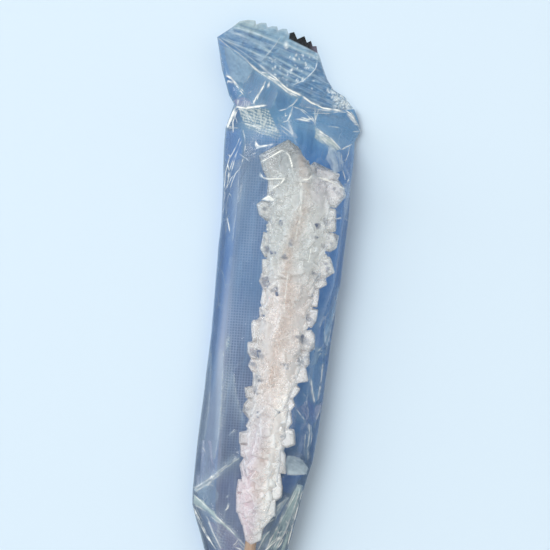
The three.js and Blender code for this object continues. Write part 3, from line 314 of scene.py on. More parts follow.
# Crystal blocks on the outline of the cluster: corners, height off the stick's axis, thickness
BLOCKS = [
    ([(-12.4, 64.0), (-5.1, 69.3), (-2.7, 67.8), (-0.3, 64.6), (-2.6, 58.7), (-8.6, 57.0), (-10.8, 60.3)], 2.4, 9.0),
    ([(-9.0, 58.6), (-8.7, 53.5), (-4.9, 52.1), (-1.0, 54.9), (-2.7, 59.5)], 1.5, 8.5),
    ([(-11.2, 51.0), (-9.8, 52.2), (-6.4, 52.2), (-4.4, 50.0), (-6.6, 47.0), (-8.0, 46.9), (-10.1, 48.2)], 0.6, 6.2),
    ([(-8.3, 44.0), (-8.6, 39.2), (-7.0, 37.1), (-3.9, 38.6), (-4.5, 43.4)], 0.4, 6),
    ([(-7.7, 36.7), (-7.1, 32.6), (-3.3, 32.4), (-3.4, 37.1)], 1.0, 5.6),
    ([(-7.3, 33.0), (-7.7, 30.6), (-6.2, 28.4), (-3.0, 28.9), (-3.4, 33.5)], 0.2, 5.6),
    ([(-6.3, 28.8), (-6.5, 25.0), (-5.2, 22.9), (-2.1, 24.2), (-2.7, 28.7)], 0.8, 5.6),
    ([(-6.5, 22.7), (-6.2, 20.5), (-2.6, 20.1), (-2.3, 23.6)], 0.2, 5),
    ([(-7.8, 20.1), (-8.2, 19.1), (-7.2, 14.4), (-3.5, 14.6), (-2.6, 18.1), (-4.4, 20.8)], 0.6, 5.6),
    ([(-8.4, 14.0), (-8.1, 11.2), (-6.9, 9.6), (-3.6, 9.6), (-3.0, 13.1), (-6.2, 14.6)], 0.2, 5.2),
    ([(-6.8, 9.9), (-7.5, 7.8), (-6.1, 6.1), (-2.9, 6.3), (-2.8, 9.9)], 0.5, 5),
    ([(-6.1, 6.4), (-5.4, 3.9), (-4.0, 3.0), (-1.4, 3.8), (-2.1, 7.0)], 0.2, 4.8),
    ([(-7.6, 1.8), (-6.8, -1.0), (-3.7, -1.0), (-2.7, 1.2), (-4.0, 3.1)], 0.6, 4.8),
    ([(-6.0, -0.9), (-7.1, -2.6), (-7.2, -4.7), (-5.0, -6.6), (-2.0, -5.8), (-1.8, -1.4)], 0.2, 4.8),
    ([(-5.0, -6.4), (-5.9, -8.4), (-4.4, -9.6), (-1.2, -9.1), (-1.7, -6.0)], 0.4, 4.6),
    ([(-7.3, -10.3), (-6.9, -13.4), (-2.5, -13.4), (-2.4, -10.2), (-4.5, -9.4)], 0.6, 4.6),
    ([(-6.7, -13.3), (-6.0, -16.7), (-2.5, -17.5), (-1.7, -13.4)], 0.2, 4.6),
    ([(-5.1, -17.1), (-6.0, -19.1), (-4.7, -22.6), (-1.0, -22.2), (-1.1, -17.7)], 0.5, 4.4),
    ([(-5.8, -22.9), (-5.9, -26.5), (-2.3, -26.7), (-1.5, -22.7)], 0.4, 4.2),
    ([(-5.9, -26.3), (-5.1, -31.9), (-2.0, -32.7), (-1.3, -26.4)], 0.3, 4.2),
    ([(-5.1, -31.3), (-3.1, -35.1), (0.2, -34.7), (-0.2, -30.1)], 0.2, 4.0),
    ([(-3.2, -34.3), (-1.6, -39.1), (0.1, -40.1), (2.8, -38.4), (2.7, -35.2), (0.3, -33.3)], 0.1, 3.9),
    ([(1.6, 63.1), (2.5, 64.4), (9.9, 62.0), (9.6, 60.4), (5.6, 58.5), (1.9, 59.6)], 1.6, 7.6),
    ([(5.9, 60.2), (9.4, 60.8), (11.4, 58.8), (12.4, 56.4), (10.1, 52.9), (6.1, 53.1), (4.5, 56.7)], 0.4, 7.4),
    ([(5.9, 52.8), (10.1, 52.6), (10.6, 50.2), (11.0, 46.6), (7.2, 45.6), (5.6, 49.2)], 0.8, 6.2),
    ([(6.4, 45.3), (10.2, 46.3), (12.0, 45.7), (11.8, 42.2), (10.2, 41.0), (7.0, 41.2)], 0.2, 6),
    ([(7.0, 39.3), (10.3, 39.8), (10.8, 39.0), (12.2, 35.7), (9.9, 33.8), (6.6, 33.8)], 0.6, 6),
    ([(6.1, 33.8), (9.9, 34.0), (10.7, 32.2), (8.8, 30.8), (5.7, 30.7)], 0.2, 5.4),
    ([(4.7, 30.0), (8.7, 30.9), (8.9, 28.7), (8.9, 25.8), (5.1, 25.7)], 0.6, 5.6),
    ([(5.4, 25.5), (9.3, 25.3), (9.1, 21.8), (8.1, 20.1), (5.2, 20.6)], 0.2, 5.4),
    ([(4.7, 18.3), (8.1, 19.7), (9.3, 18.4), (9.8, 14.7), (8.6, 13.6), (4.8, 13.7)], 0.6, 5.6),
    ([(4.4, 13.1), (8.4, 14.0), (9.0, 10.4), (8.1, 9.2), (4.6, 9.3)], 0.2, 5.2),
    ([(3.6, 8.9), (8.0, 9.7), (9.4, 5.8), (5.4, 4.5), (3.2, 5.8)], 0.6, 5.2),
    ([(2.4, 3.5), (5.5, 4.8), (7.5, 3.6), (7.0, 2.2), (5.8, 0.5), (2.6, 0.3)], 0.2, 4.8),
    ([(2.4, -0.0), (5.8, 0.8), (6.7, -1.0), (5.8, -2.7), (2.5, -3.0)], 0.5, 4.8),
    ([(2.0, -3.1), (5.7, -2.4), (6.6, -5.9), (5.6, -7.8), (2.3, -7.4)], 0.2, 4.8),
    ([(2.5, -8.5), (5.6, -7.5), (7.3, -7.5), (7.8, -8.9), (8.2, -11.6), (6.1, -12.8), (3.0, -12.2)], 0.5, 4.8),
    ([(1.6, -13.5), (4.8, -13.0), (6.1, -14.7), (6.8, -19.8), (3.0, -19.8), (1.4, -16.2)], 0.2, 4.6),
    ([(1.5, -20.6), (5.3, -19.8), (6.5, -23.7), (6.6, -26.1), (5.4, -27.3), (2.3, -26.5)], 0.4, 4.4),
    ([(1.4, -27.7), (5.1, -26.9), (5.6, -31.5), (2.0, -32.0)], 0.2, 4.2),
    ([(0.4, -32.2), (5.6, -30.8), (2.7, -35.4), (0.5, -34.9)], 0.3, 4.0),
]
# Facets of the film that catch the light, as painted sheen: corners, amount, colour, how streaky
FACETS = [
    ([(-17.3, -27.7), (-13.3, -24.3), (-11.8, -23.2), (-11.7, -25.5), (-10.2, -27.4), (-10.8, -30.4), (-12.5, -31.2), (-15.1, -29.5)], 0.36, (136, 160, 180), 0.35),
    ([(-17.5, -27.3), (-14.5, -24.4), (-10.2, -19.9), (-6.5, -16.4), (-6.2, -16.9), (-9.5, -20.2), (-11.9, -23.6), (-13.6, -25.3), (-16.9, -28.1)], 0.45, (170, 180, 180), 0.5),
    ([(-17.3, -28.6), (-14.8, -29.7), (-10.7, -32.2), (-8.1, -34.6), (-3.4, -38.1), (-4.3, -38.0), (-8.8, -35.3), (-13.4, -32.8), (-16.9, -31.6)], 0.45, (172, 192, 188), 0.5),
    ([(-12.4, -35.0), (-8.2, -35.2), (-3.4, -38.3), (-1.7, -41.7), (-7.8, -42.6)], 0.35, (122, 120, 150), 0.5),
    ([(10.2, -22.0), (11.8, -22.0), (11.8, -23.6), (11.0, -27.7), (10.2, -33.0), (9.4, -40.2), (4.1, -40.9), (5.6, -36.8), (7.3, -31.4), (8.9, -25.3)], 0.5, (152, 174, 174), 0.7),
    ([(6.2, -14.4), (8.7, -14.3), (10.9, -15.2), (12.3, -16.9), (12.5, -19.0), (9.8, -19.5), (7.1, -19.9), (6.1, -16.9)], 0.6, (178, 196, 206), 0.3),
    ([(6.6, -16.4), (9.2, -16.2), (11.4, -17.0), (12.0, -18.5), (9.8, -19.2), (7.4, -19.4)], 0.48, (176, 194, 206), 0.4),
    ([(5.2, -28.3), (7.9, -25.5), (8.4, -25.8), (6.8, -29.4), (5.8, -32.8)], 0.45, (152, 168, 178), 0.4),
    ([(3.0, -36.6), (4.8, -34.6), (4.9, -36.3), (3.0, -41.1), (2.0, -41.2)], 0.5, (124, 148, 156), 0.5),
    ([(-17.9, -14.0), (-15.4, -13.7), (-14.6, -17.8), (-11.8, -23.2), (-13.3, -24.3), (-17.1, -27.3), (-17.9, -24.5)], 0.38, (142, 154, 178), 0.9),
    ([(-15.4, -13.7), (-11.7, -13.2), (-11.1, -18.9), (-11.8, -23.0), (-14.3, -18.4)], 0.32, (150, 156, 182), 0.8),
    ([(13.9, 34.0), (15.3, 34.2), (13.8, 22.5), (13.6, 14.5), (11.8, 17.0), (11.1, 19.7), (12.8, 25.2)], 0.42, (116, 156, 196), 0.6),
    ([(10.3, 15.4), (12.9, 14.4), (12.9, 9.5), (12.6, 1.8), (11.7, 0.3), (9.4, 6.9), (9.2, 11.1)], 0.36, (108, 146, 182), 0.8),
    ([(9.5, 1.0), (11.9, -1.1), (13.1, -4.7), (11.6, -6.3), (10.0, -4.5), (6.8, -1.8)], 0.4, (100, 120, 164), 0.6),
    ([(6.7, -1.4), (10.0, -4.8), (7.3, -5.2), (6.2, -2.6)], 0.4, (84, 124, 164), 0.3),
    ([(13.8, 0.6), (12.8, -5.1), (11.9, -3.2), (12.0, -0.4)], 0.4, (120, 140, 184), 0.3),
    ([(-27.6, 92.9), (-23.5, 91.4), (-17.2, 87.6), (-17.1, 86.3), (-19.4, 82.6), (-22.7, 83.4), (-24.6, 84.5)], 0.55, (150, 180, 204), 0.2),
    ([(-27.7, 93.2), (-26.0, 92.4), (-23.1, 84.7), (-24.6, 84.5)], 0.5, (84, 132, 184), 0.2),
    ([(-17.1, 86.3), (-12.4, 84.9), (-14.9, 80.1), (-15.5, 77.4), (-18.5, 79.8), (-19.4, 82.3)], 0.3, (130, 154, 186), 0.7),
    ([(-12.4, 84.6), (-10.1, 82.9), (-10.1, 79.7), (-10.8, 77.0), (-15.3, 77.4), (-14.4, 80.2)], 0.34, (118, 140, 174), 0.7),
    ([(-5.1, 78.9), (-2.1, 78.2), (0.8, 76.0), (1.8, 74.9), (-5.7, 73.8)], 0.35, (124, 154, 184), 0.5),
    ([(-3.1, 81.5), (2.2, 78.8), (8.4, 79.5), (2.6, 77.9), (-0.9, 77.4), (-3.8, 79.0)], 0.4, (164, 180, 200), 0.4),
    ([(-18.5, 79.6), (-15.5, 77.4), (-17.8, 76.4), (-20.4, 76.4), (-21.1, 78.2)], 0.35, (150, 150, 180), 0.6),
    ([(1.5, 76.9), (8.9, 79.7), (12.0, 77.4), (13.8, 74.2), (11.6, 70.5), (9.1, 68.5), (1.6, 73.9)], 0.45, (98, 146, 190), 0.2),
    ([(1.8, 73.1), (9.1, 68.8), (7.3, 67.1), (3.6, 69.1)], 0.5, (192, 208, 206), 0.9),
    ([(-5.9, 78.3), (0.2, 78.5), (1.6, 73.9), (-3.9, 73.8)], 0.35, (84, 126, 172), 0.3),
    ([(-8.2, 75.2), (-5.4, 75.0), (-2.6, 69.2), (-4.7, 69.6)], 0.4, (150, 172, 196), 0.6),
    ([(5.8, 68.6), (9.2, 68.1), (10.2, 62.6), (8.4, 61.6), (5.4, 65.2)], 0.5, (186, 204, 218), 0.6),
    ([(11.0, 60.0), (13.0, 59.6), (13.6, 52.0), (12.4, 51.6)], 0.28, (176, 196, 214), 0.5),
    ([(-22.4, 69.8), (-17.7, 70.5), (-16.9, 62.4), (-21.1, 60.5)], 0.35, (88, 128, 184), 0.3),
    ([(-10.0, 52.1), (-8.5, 53.8), (-6.2, 52.4)], 0.8, (236, 240, 234), 0.1),
    ([(-14.0, 67.8), (-12.7, 66.6), (-9.7, 66.7), (-12.5, 65.7), (-13.5, 65.3), (-13.1, 66.4)], 0.62, (226, 236, 240), 0.1),
    ([(-11.5, 59.4), (-10.1, 58.0), (-8.7, 57.7), (-9.5, 57.4), (-11.1, 58.4)], 0.7, (216, 232, 238), 0.1),
    ([(1.5, 73.2), (3.1, 72.0), (7.0, 70.4), (9.2, 68.6), (7.3, 68.0), (4.4, 68.9), (1.7, 70.2)], 0.45, (206, 216, 208), 0.9),
    ([(-20.2, 89.9), (-16.1, 88.5), (-12.6, 86.1), (-7.5, 83.0), (-3.1, 81.5), (-4.8, 81.0), (-9.6, 83.4), (-13.5, 85.2), (-17.2, 87.3)], 0.5, (176, 194, 196), 0.3),
    ([(11.4, 19.8), (12.9, 21.5), (13.2, 25.2), (13.4, 26.7), (13.2, 22.7), (13.1, 19.4), (12.9, 15.4), (12.0, 16.5)], 0.42, (138, 166, 196), 0.6),
    ([(9.8, 21.8), (11.4, 24.2), (11.1, 23.3), (10.4, 21.6), (10.0, 20.2)], 0.4, (130, 158, 190), 0.4),
    ([(9.9, 15.6), (12.2, 15.0), (11.8, 14.1), (11.1, 12.4), (10.8, 10.6), (8.9, 9.7), (8.9, 12.1), (9.8, 14.4)], 0.42, (118, 146, 172), 0.5),
    ([(11.4, 10.1), (12.6, 11.7), (13.0, 10.3), (12.8, 7.2), (12.8, 3.0), (12.3, 1.7), (12.4, 5.4), (12.5, 8.7)], 0.42, (146, 168, 190), 0.5),
    ([(8.9, 9.7), (9.9, 9.9), (10.0, 7.4), (11.5, 1.6), (10.8, 2.4), (9.4, 6.1)], 0.35, (128, 150, 176), 0.5),
    ([(6.7, -1.5), (9.6, 0.4), (10.8, -3.4), (10.4, -5.1), (9.3, -3.9), (7.3, -2.3)], 0.42, (128, 138, 168), 0.6),
    ([(11.8, -0.2), (14.0, 1.2), (14.0, -0.8), (13.2, -3.6), (12.7, -4.1)], 0.42, (130, 138, 172), 0.4),
    ([(10.5, -5.2), (11.5, -5.4), (12.1, -8.9), (12.3, -13.1), (11.6, -10.8), (11.4, -14.5), (10.8, -13.4), (10.7, -8.5)], 0.36, (136, 162, 182), 0.7),
    ([(6.1, -13.6), (8.8, -13.0), (9.3, -11.8), (10.2, -12.2), (10.0, -14.7), (6.6, -14.6)], 0.34, (112, 132, 162), 0.5),
    ([(9.8, -22.0), (11.5, -21.7), (12.4, -23.4), (10.0, -23.8)], 0.3, (176, 196, 214), 0.5),
]
# Darker fields of the blue film underneath, in the same form
SHADES = [
    ([(-16.8, -32.3), (-14.7, -32.4), (-11.5, -37.1), (-8.2, -42.7), (-11.7, -43.2)], 0.6, (56, 82, 132), 0.3),
    ([(5.5, -21.6), (6.9, -19.9), (9.4, -19.4), (12.2, -18.8), (10.2, -22.0), (8.8, -25.7), (7.0, -25.1)], 1.0, (22, 66, 122), 0.0),
    ([(6.7, -28.9), (7.9, -28.4), (6.6, -33.6), (5.1, -36.5), (3.6, -37.7), (4.9, -34.8)], 0.95, (24, 64, 116), 0.0),
    ([(9.6, 23.0), (11.9, 24.0), (11.1, 19.7), (12.4, 15.0), (9.9, 15.7)], 0.5, (52, 94, 152), 0.2),
    ([(12.9, 14.4), (13.7, 14.5), (13.8, 2.7), (13.4, 0.5), (12.6, 1.8), (12.9, 9.5)], 0.5, (44, 96, 158), 0.2),
    ([(8.4, -6.1), (10.8, -5.4), (11.1, -15.1), (9.2, -13.6)], 0.35, (64, 98, 150), 0.5),
    ([(-10.1, 82.9), (-5.3, 80.9), (-6.4, 77.6), (-8.9, 76.5), (-10.1, 79.7)], 0.42, (58, 108, 160), 0.15),
    ([(-3.2, 73.9), (1.6, 73.2), (3.7, 68.1), (0.8, 64.9), (-3.3, 69.8)], 0.32, (60, 112, 164), 0.15),
    ([(11.0, 19.4), (11.7, 18.6), (11.8, 15.9), (12.4, 15.1), (10.0, 15.6), (9.5, 17.5), (10.2, 19.0)], 0.55, (58, 102, 156), 0.3),
    ([(11.1, 14.1), (12.4, 14.7), (12.7, 14.1), (11.7, 13.5)], 0.85, (34, 90, 146), 0.0),
    ([(12.7, 13.3), (12.1, 12.9), (10.8, 11.2), (11.3, 10.9), (12.6, 12.0)], 0.85, (40, 82, 136), 0.0),
    ([(10.0, 8.3), (11.6, 9.2), (12.3, 6.5), (12.0, 4.1), (10.9, 4.2)], 0.45, (60, 98, 150), 0.4),
    ([(13.4, 14.3), (13.8, 15.5), (14.0, 9.2), (13.9, 6.2), (13.4, 10.3)], 0.65, (24, 78, 136), 0.1),
    ([(9.6, 0.7), (11.9, -0.5), (12.7, -3.7), (12.4, -6.2), (10.7, -2.5)], 0.65, (54, 80, 138), 0.2),
    ([(6.8, -3.0), (9.4, -4.8), (9.4, -6.6), (7.9, -6.8), (7.0, -5.7)], 0.55, (50, 84, 120), 0.2),
    ([(12.3, -10.4), (13.0, -6.1), (13.5, -5.2), (13.3, -10.6), (13.1, -15.5), (12.5, -15.5)], 0.5, (44, 80, 128), 0.3),
    ([(8.2, -8.9), (10.0, -6.5), (10.6, -8.5), (10.6, -12.8), (9.5, -13.5), (8.5, -11.2)], 0.5, (56, 88, 130), 0.4),
]
# Raised ribs of the crimped end, painted paler as highlight: points, half width, amount
RIBS = [
    ([(-24.6, 97.2), (-22.0, 97.6), (-18.8, 97.0), (-16.1, 96.5), (-12.9, 95.6)], 0.41, 0.55),
    ([(-26.2, 95.7), (-22.8, 95.8), (-20.1, 95.3), (-17.7, 94.3), (-15.2, 93.4), (-13.5, 92.4)], 0.52, 0.6),
    ([(-27.1, 94.5), (-24.1, 93.4), (-20.6, 92.6), (-17.8, 91.7), (-15.3, 90.7), (-14.3, 90.6)], 0.36, 0.4),
    ([(-27.5, 94.1), (-24.5, 92.6), (-21.1, 91.0), (-18.3, 89.8), (-16.1, 88.8)], 0.31, 0.5),
    ([(-26.4, 95.3), (-25.0, 94.3), (-22.8, 93.6)], 0.21, 0.4),
    ([(-23.1, 93.8), (-21.2, 93.5)], 0.18, 0.5),
    ([(-9.7, 94.9), (-7.3, 94.5), (-4.5, 93.5), (-1.8, 92.9), (-0.4, 92.3)], 0.44, 0.55),
    ([(-11.2, 92.9), (-8.2, 92.2), (-5.5, 91.3), (-2.8, 90.7), (-1.1, 89.8)], 0.39, 0.5),
    ([(-12.3, 91.4), (-9.0, 90.3), (-6.5, 89.1), (-3.5, 88.0), (-2.1, 87.4)], 0.34, 0.5),
    ([(-13.2, 90.8), (-10.4, 89.1), (-7.6, 87.9), (-4.9, 87.0), (-2.7, 86.2)], 0.26, 0.45),
    ([(-14.9, 89.2), (-11.8, 88.1), (-8.5, 86.7), (-5.7, 85.5), (-4.6, 85.2)], 0.31, 0.42),
    ([(-14.9, 87.9), (-11.6, 86.5), (-8.3, 85.2), (-5.8, 84.2)], 0.23, 0.38),
    ([(-0.9, 88.3), (1.6, 87.1), (3.1, 86.0)], 0.21, 0.4),
    ([(-3.7, 85.8), (-0.7, 85.2), (2.0, 84.0), (5.1, 82.4), (8.0, 80.7)], 0.23, 0.65),
    ([(-4.5, 83.9), (-1.8, 83.5), (0.9, 82.6), (3.7, 81.4), (6.5, 80.0)], 0.18, 0.5),
    ([(-2.7, 86.2), (0.4, 86.4), (3.2, 85.2), (5.7, 83.8)], 0.26, 0.42),
    ([(-2.3, 87.3), (0.3, 87.4), (2.5, 86.2)], 0.15, 0.35),
    ([(-12.9, 95.6), (-9.7, 94.9)], 0.36, 0.35),
    ([(-10.9, 100.0), (-9.4, 98.6), (-10.4, 96.4)], 0.41, 0.35),
    ([(-19.1, 99.3), (-15.4, 98.8), (-12.2, 98.5)], 0.36, 0.3),
]
# Grooves between the ribs, painted darker as shade: points, half width, amount
GROOVES = [
    ([(-23.5, 96.6), (-20.6, 96.4), (-17.3, 95.5), (-14.0, 94.4)], 0.23, 0.5),
    ([(-20.7, 93.9), (-17.5, 93.0), (-14.5, 91.9)], 0.34, 0.55),
    ([(-19.0, 90.7), (-15.6, 89.0)], 0.21, 0.7),
    ([(-26.8, 94.1), (-23.9, 92.4), (-20.3, 90.8)], 0.18, 0.5),
    ([(0.2, 90.0), (2.5, 88.3), (3.3, 86.3)], 0.41, 0.55),
    ([(-4.6, 84.5), (-0.6, 83.9), (3.6, 82.2), (8.1, 80.1)], 0.31, 0.6),
    ([(-5.4, 83.4), (-1.6, 82.2), (2.5, 81.0), (6.6, 79.7)], 0.36, 0.6),
    ([(-9.2, 93.7), (-6.6, 93.3), (-3.0, 92.2), (-0.8, 91.5)], 0.21, 0.6),
    ([(-12.7, 92.7), (-9.2, 91.5), (-6.1, 90.2), (-3.4, 89.0)], 0.21, 0.55),
    ([(-13.4, 91.5), (-10.5, 90.1), (-6.4, 88.3), (-3.9, 87.1)], 0.18, 0.5),
    ([(-14.2, 90.1), (-10.3, 88.2), (-6.7, 86.7)], 0.15, 0.45),
    ([(-15.0, 88.7), (-10.0, 86.5), (-6.4, 84.9)], 0.15, 0.4),
    ([(-22.1, 98.4), (-19.0, 98.0), (-15.2, 97.5)], 0.23, 0.3),
]
# Darker spots where the clear rims show the bag behind them: x, y, half sizes
SPOTS = [
    (-6.6, 39.1, 0.59, 0.49), (-5.2, 38.7, 0.54, 0.41), (-1.7, 38.0, 0.41, 0.41), (-6.1, 31.5, 0.68, 0.41), (-5.7, 30.2, 0.81, 0.43),
    (-0.7, 42.0, 0.41, 0.54), (-4.0, 47.0, 0.43, 0.35), (5.9, 47.4, 0.32, 0.68), (7.5, 49.0, 0.38, 0.54), (5.8, 44.2, 0.54, 0.27),
    (9.6, 44.0, 0.24, 0.59), (8.2, 42.0, 0.32, 0.22), (9.3, 37.8, 0.38, 0.27), (6.7, 34.7, 0.43, 0.43), (8.3, 33.1, 0.81, 0.38),
    (3.4, 63.2, 0.54, 0.27), (10.5, 56.7, 0.41, 0.41), (-10.4, 63.7, 0.81, 0.27), (-7.3, 53.9, 0.32, 0.54), (6.2, 16.6, 0.81, 0.68),
    (-5.7, 11.5, 1.08, 0.54), (-2.7, 28.7, 0.54, 0.54), (6.4, 10.5, 0.68, 0.54), (-6.3, 8.4, 0.54, 0.32), (7.5, 22.2, 0.54, 0.41),
    (-4.4, 4.9, 0.68, 0.54), (-4.7, 1.8, 0.41, 0.68), (-4.8, -4.4, 1.22, 0.49), (-4.5, -11.5, 0.41, 0.68), (6.4, -9.3, 0.68, 0.54),
    (4.3, -25.3, 0.54, 0.32), (1.7, -3.1, 0.41, 0.27), (5.2, -10.1, 0.54, 0.43), (2.5, 9.3, 0.54, 0.41), (-5.5, 21.5, 0.43, 0.32),
    (-3.8, -20.2, 0.38, 0.43),
]


# ------------------------------------------------------------------ small helpers
def axis_z(y):
    return 8.9 + 0.043 * y


def smooth(t):
    t = np.clip(t, 0, 1)
    return t * t * (3 - 2 * t)


def mix(a, b, t):
    return a + (b - a) * t


def along(outline, y):
    """x of an outline at y; the outline runs from high y to low y."""
    return np.interp(y, outline[::-1, 1], outline[::-1, 0])


def catmull(rows, t):
    n = len(rows) - 1
    f = np.clip(t, 0, n)
    i = np.minimum(n - 1, f.astype(int))
    k = (f - i)[:, None]
    p0, p1, p2, p3 = rows[np.maximum(0, i - 1)], rows[i], rows[i + 1], rows[np.minimum(n, i + 2)]
    m1, m2 = (p2 - p0) / 2, (p3 - p1) / 2
    k2, k3 = k * k, k * k * k
    return (2 * k3 - 3 * k2 + 1) * p1 + (k3 - 2 * k2 + k) * m1 + (-2 * k3 + 3 * k2) * p2 + (k3 - k2) * m2


def hash2(i, j, seed):
    h = (i.astype(np.int64) * 374761393 + j.astype(np.int64) * 668265263 + seed * 974634777) & 0x7FFFFFFF
    h = ((h ^ (h >> 13)) * 1274126177) & 0x7FFFFFFF
    h = h ^ (h >> 16)
    return (h & 0xFFFFF) / float(0xFFFFF)


def noise2(x, y, seed=0):
    """Smooth value noise, 0 to 1, one cell per unit."""
    i, j = np.floor(x), np.floor(y)
    a, b = smooth(x - i), smooth(y - j)
    v00, v10 = hash2(i, j, seed), hash2(i + 1, j, seed)
    v01, v11 = hash2(i, j + 1, seed), hash2(i + 1, j + 1, seed)
    return mix(mix(v00, v10, a), mix(v01, v11, a), b)


def lin(r, g, b):
    return np.array([((c / 255 + 0.055) / 1.055) ** 2.4 if c > 10 else c / 255 / 12.92 for c in (r, g, b)])


def candy_space(y, inner=False):
    y = np.clip(y, CANDY_LOW_Y, CANDY_HIGH_Y)
    table = VALLEYS if inner else CANDY_OUTLINE
    left = np.interp(y, table[:, 0], table[:, 1])
    right = np.interp(y, table[:, 0], table[:, 2])
    half = (left + right) / 2
    up = np.minimum(half, (half + 18.8) / 3)
    return (right - left) / 2, half, up, np.minimum(np.minimum(half, up), axis_z(y) - 0.75)


BOXY = 2.7                     # how square the space round the candy is


def film_space(y):
    """The candy's space as the taut film bridges it: widest nearby, then evened out."""
    ys = np.arange(CANDY_LOW_Y, CANDY_HIGH_Y + 0.01, 0.5)
    rows = []
    for column in (1, 2):
        w = np.interp(ys, CANDY_OUTLINE[:, 0], CANDY_OUTLINE[:, column])
        w = np.array([w[max(0, i - 7):i + 8].max() for i in range(len(ys))])
        w = np.convolve(np.pad(w, 8, "edge"), np.hanning(19)[1:-1] / np.hanning(19).sum(), "valid")
        rows.append(np.interp(np.clip(y, ys[0], ys[-1]), ys, w))
    half = (rows[0] + rows[1]) / 2
    return (rows[1] - rows[0]) / 2, half, np.minimum(half, (half + 18.8) / 3), None


def cover(x, y, grow, side):
    """Height of the space round the candy over (x, y), and where it applies."""
    middle, half, up, down = film_space(y) if side > 0 else candy_space(y)
    k = 1 - np.abs((x - middle) / (half + grow)) ** BOXY
    inside = (k > 0) & (y > CANDY_LOW_Y - 2.5) & (y < CANDY_HIGH_Y + 2.0)
    past = np.clip((y - CANDY_HIGH_Y + 0.2) / 10.0, 0, 1)
    inside = (k > 0) & (y > CANDY_LOW_Y - 2.5) & (past < 1) if side > 0 else inside
    ends = 1.0 if side > 0 else np.sqrt(np.clip(1 - (np.maximum(0, y - CANDY_HIGH_Y + 1.0) / 3.0) ** 2, 0, 1))
    ends = ends * np.sqrt(np.clip(1 - (np.maximum(0, CANDY_LOW_Y + 1.0 - y) / 3.5) ** 2, 0, 1))
    tall = np.clip(k, 0, 1) ** (1 / BOXY) * ends
    fall = 0.5 + 0.5 * np.cos(np.pi * past)
    return ((axis_z(y) + (up + grow) * tall) * fall if side > 0 else axis_z(y) - (down + grow) * tall), inside


def mesh_object(name, verts, faces, material, smooth_faces=True, floats=(), colors=()):
    me = bpy.data.meshes.new(name)
    me.from_pydata(place(verts).tolist(), [], [tuple(int(i) for i in f) for f in faces])
    me.update()
    for key, values in floats:
        me.attributes.new(key, "FLOAT", "POINT").data.foreach_set("value", np.asarray(values, dtype=np.float32).ravel())
    for key, values in colors:
        rgba = np.ones((len(values), 4), dtype=np.float32)
        rgba[:, :3] = values
        me.attributes.new(key, "FLOAT_COLOR", "POINT").data.foreach_set("color", rgba.ravel())
    me.polygons.foreach_set("use_smooth", [smooth_faces] * len(me.polygons))
    obj = bpy.data.objects.new(name, me)
    bpy.context.scene.collection.objects.link(obj)
    me.materials.append(material)
    return obj


def grid_faces(rows, cols, flip=False):
    i, j = np.meshgrid(np.arange(rows - 1), np.arange(cols - 1), indexing="ij")
    a = (i * cols + j).ravel()
    quad = np.stack([a, a + 1, a + cols + 1, a + cols], axis=1)
    return quad[:, ::-1] if flip else quad


# ------------------------------------------------------------------ node helpers
class Material:
    def __init__(self, name):
        self.material = bpy.data.materials.new(name)
        self.material.use_nodes = True
        self.tree = self.material.node_tree
        self.tree.nodes.clear()
        self.column = 0

    def node(self, kind, inputs=None, **settings):
        n = self.tree.nodes.new(kind)
        self.column += 1
        n.location = (self.column * 180, -(self.column % 4) * 160)
        for key, value in settings.items():
            setattr(n, key, value)
        for key, value in (inputs or {}).items():
            socket = n.inputs[key]
            if isinstance(value, bpy.types.NodeSocket):
                self.tree.links.new(value, socket)
            elif isinstance(value, bpy.types.Node):
                self.tree.links.new(value.outputs[0], socket)
            else:
                socket.default_value = value
        return n

    def math(self, operation, a, b=0.0, clamp=False):
        return self.node("ShaderNodeMath", {0: a, 1: b}, operation=operation, use_clamp=clamp).outputs[0]

    def value(self, name):
        return self.node("ShaderNodeAttribute", attribute_type="GEOMETRY", attribute_name=name).outputs["Fac"]

    def color(self, name):
        return self.node("ShaderNodeAttribute", attribute_type="GEOMETRY", attribute_name=name).outputs["Color"]

    def blend(self, factor, a, b, mode="MIX"):
        n = self.node("ShaderNodeMix", data_type="RGBA", blend_type=mode)
        for index, value in ((0, factor), (6, a), (7, b)):
            if isinstance(value, bpy.types.NodeSocket):
                self.tree.links.new(value, n.inputs[index])
            else:
                n.inputs[index].default_value = value
        return n.outputs[2]

    def ramp(self, factor, *stops):
        n = self.node("ShaderNodeValToRGB", {"Fac": factor})
        ramp = n.color_ramp
        while len(ramp.elements) < len(stops):
            ramp.elements.new(0.5)
        for element, (position, color) in zip(ramp.elements, stops):
            element.position = position
            element.color = (*color, 1) if len(color) == 3 else color
        return n.outputs["Color"]

    def finish(self, shader):
        out = self.node("ShaderNodeOutputMaterial")
        self.tree.links.new(shader if isinstance(shader, bpy.types.NodeSocket) else shader.outputs[0], out.inputs[0])
        return self.material


def rgba(c, scale=1.0):
    return (float(c[0]) * scale, float(c[1]) * scale, float(c[2]) * scale, 1.0)


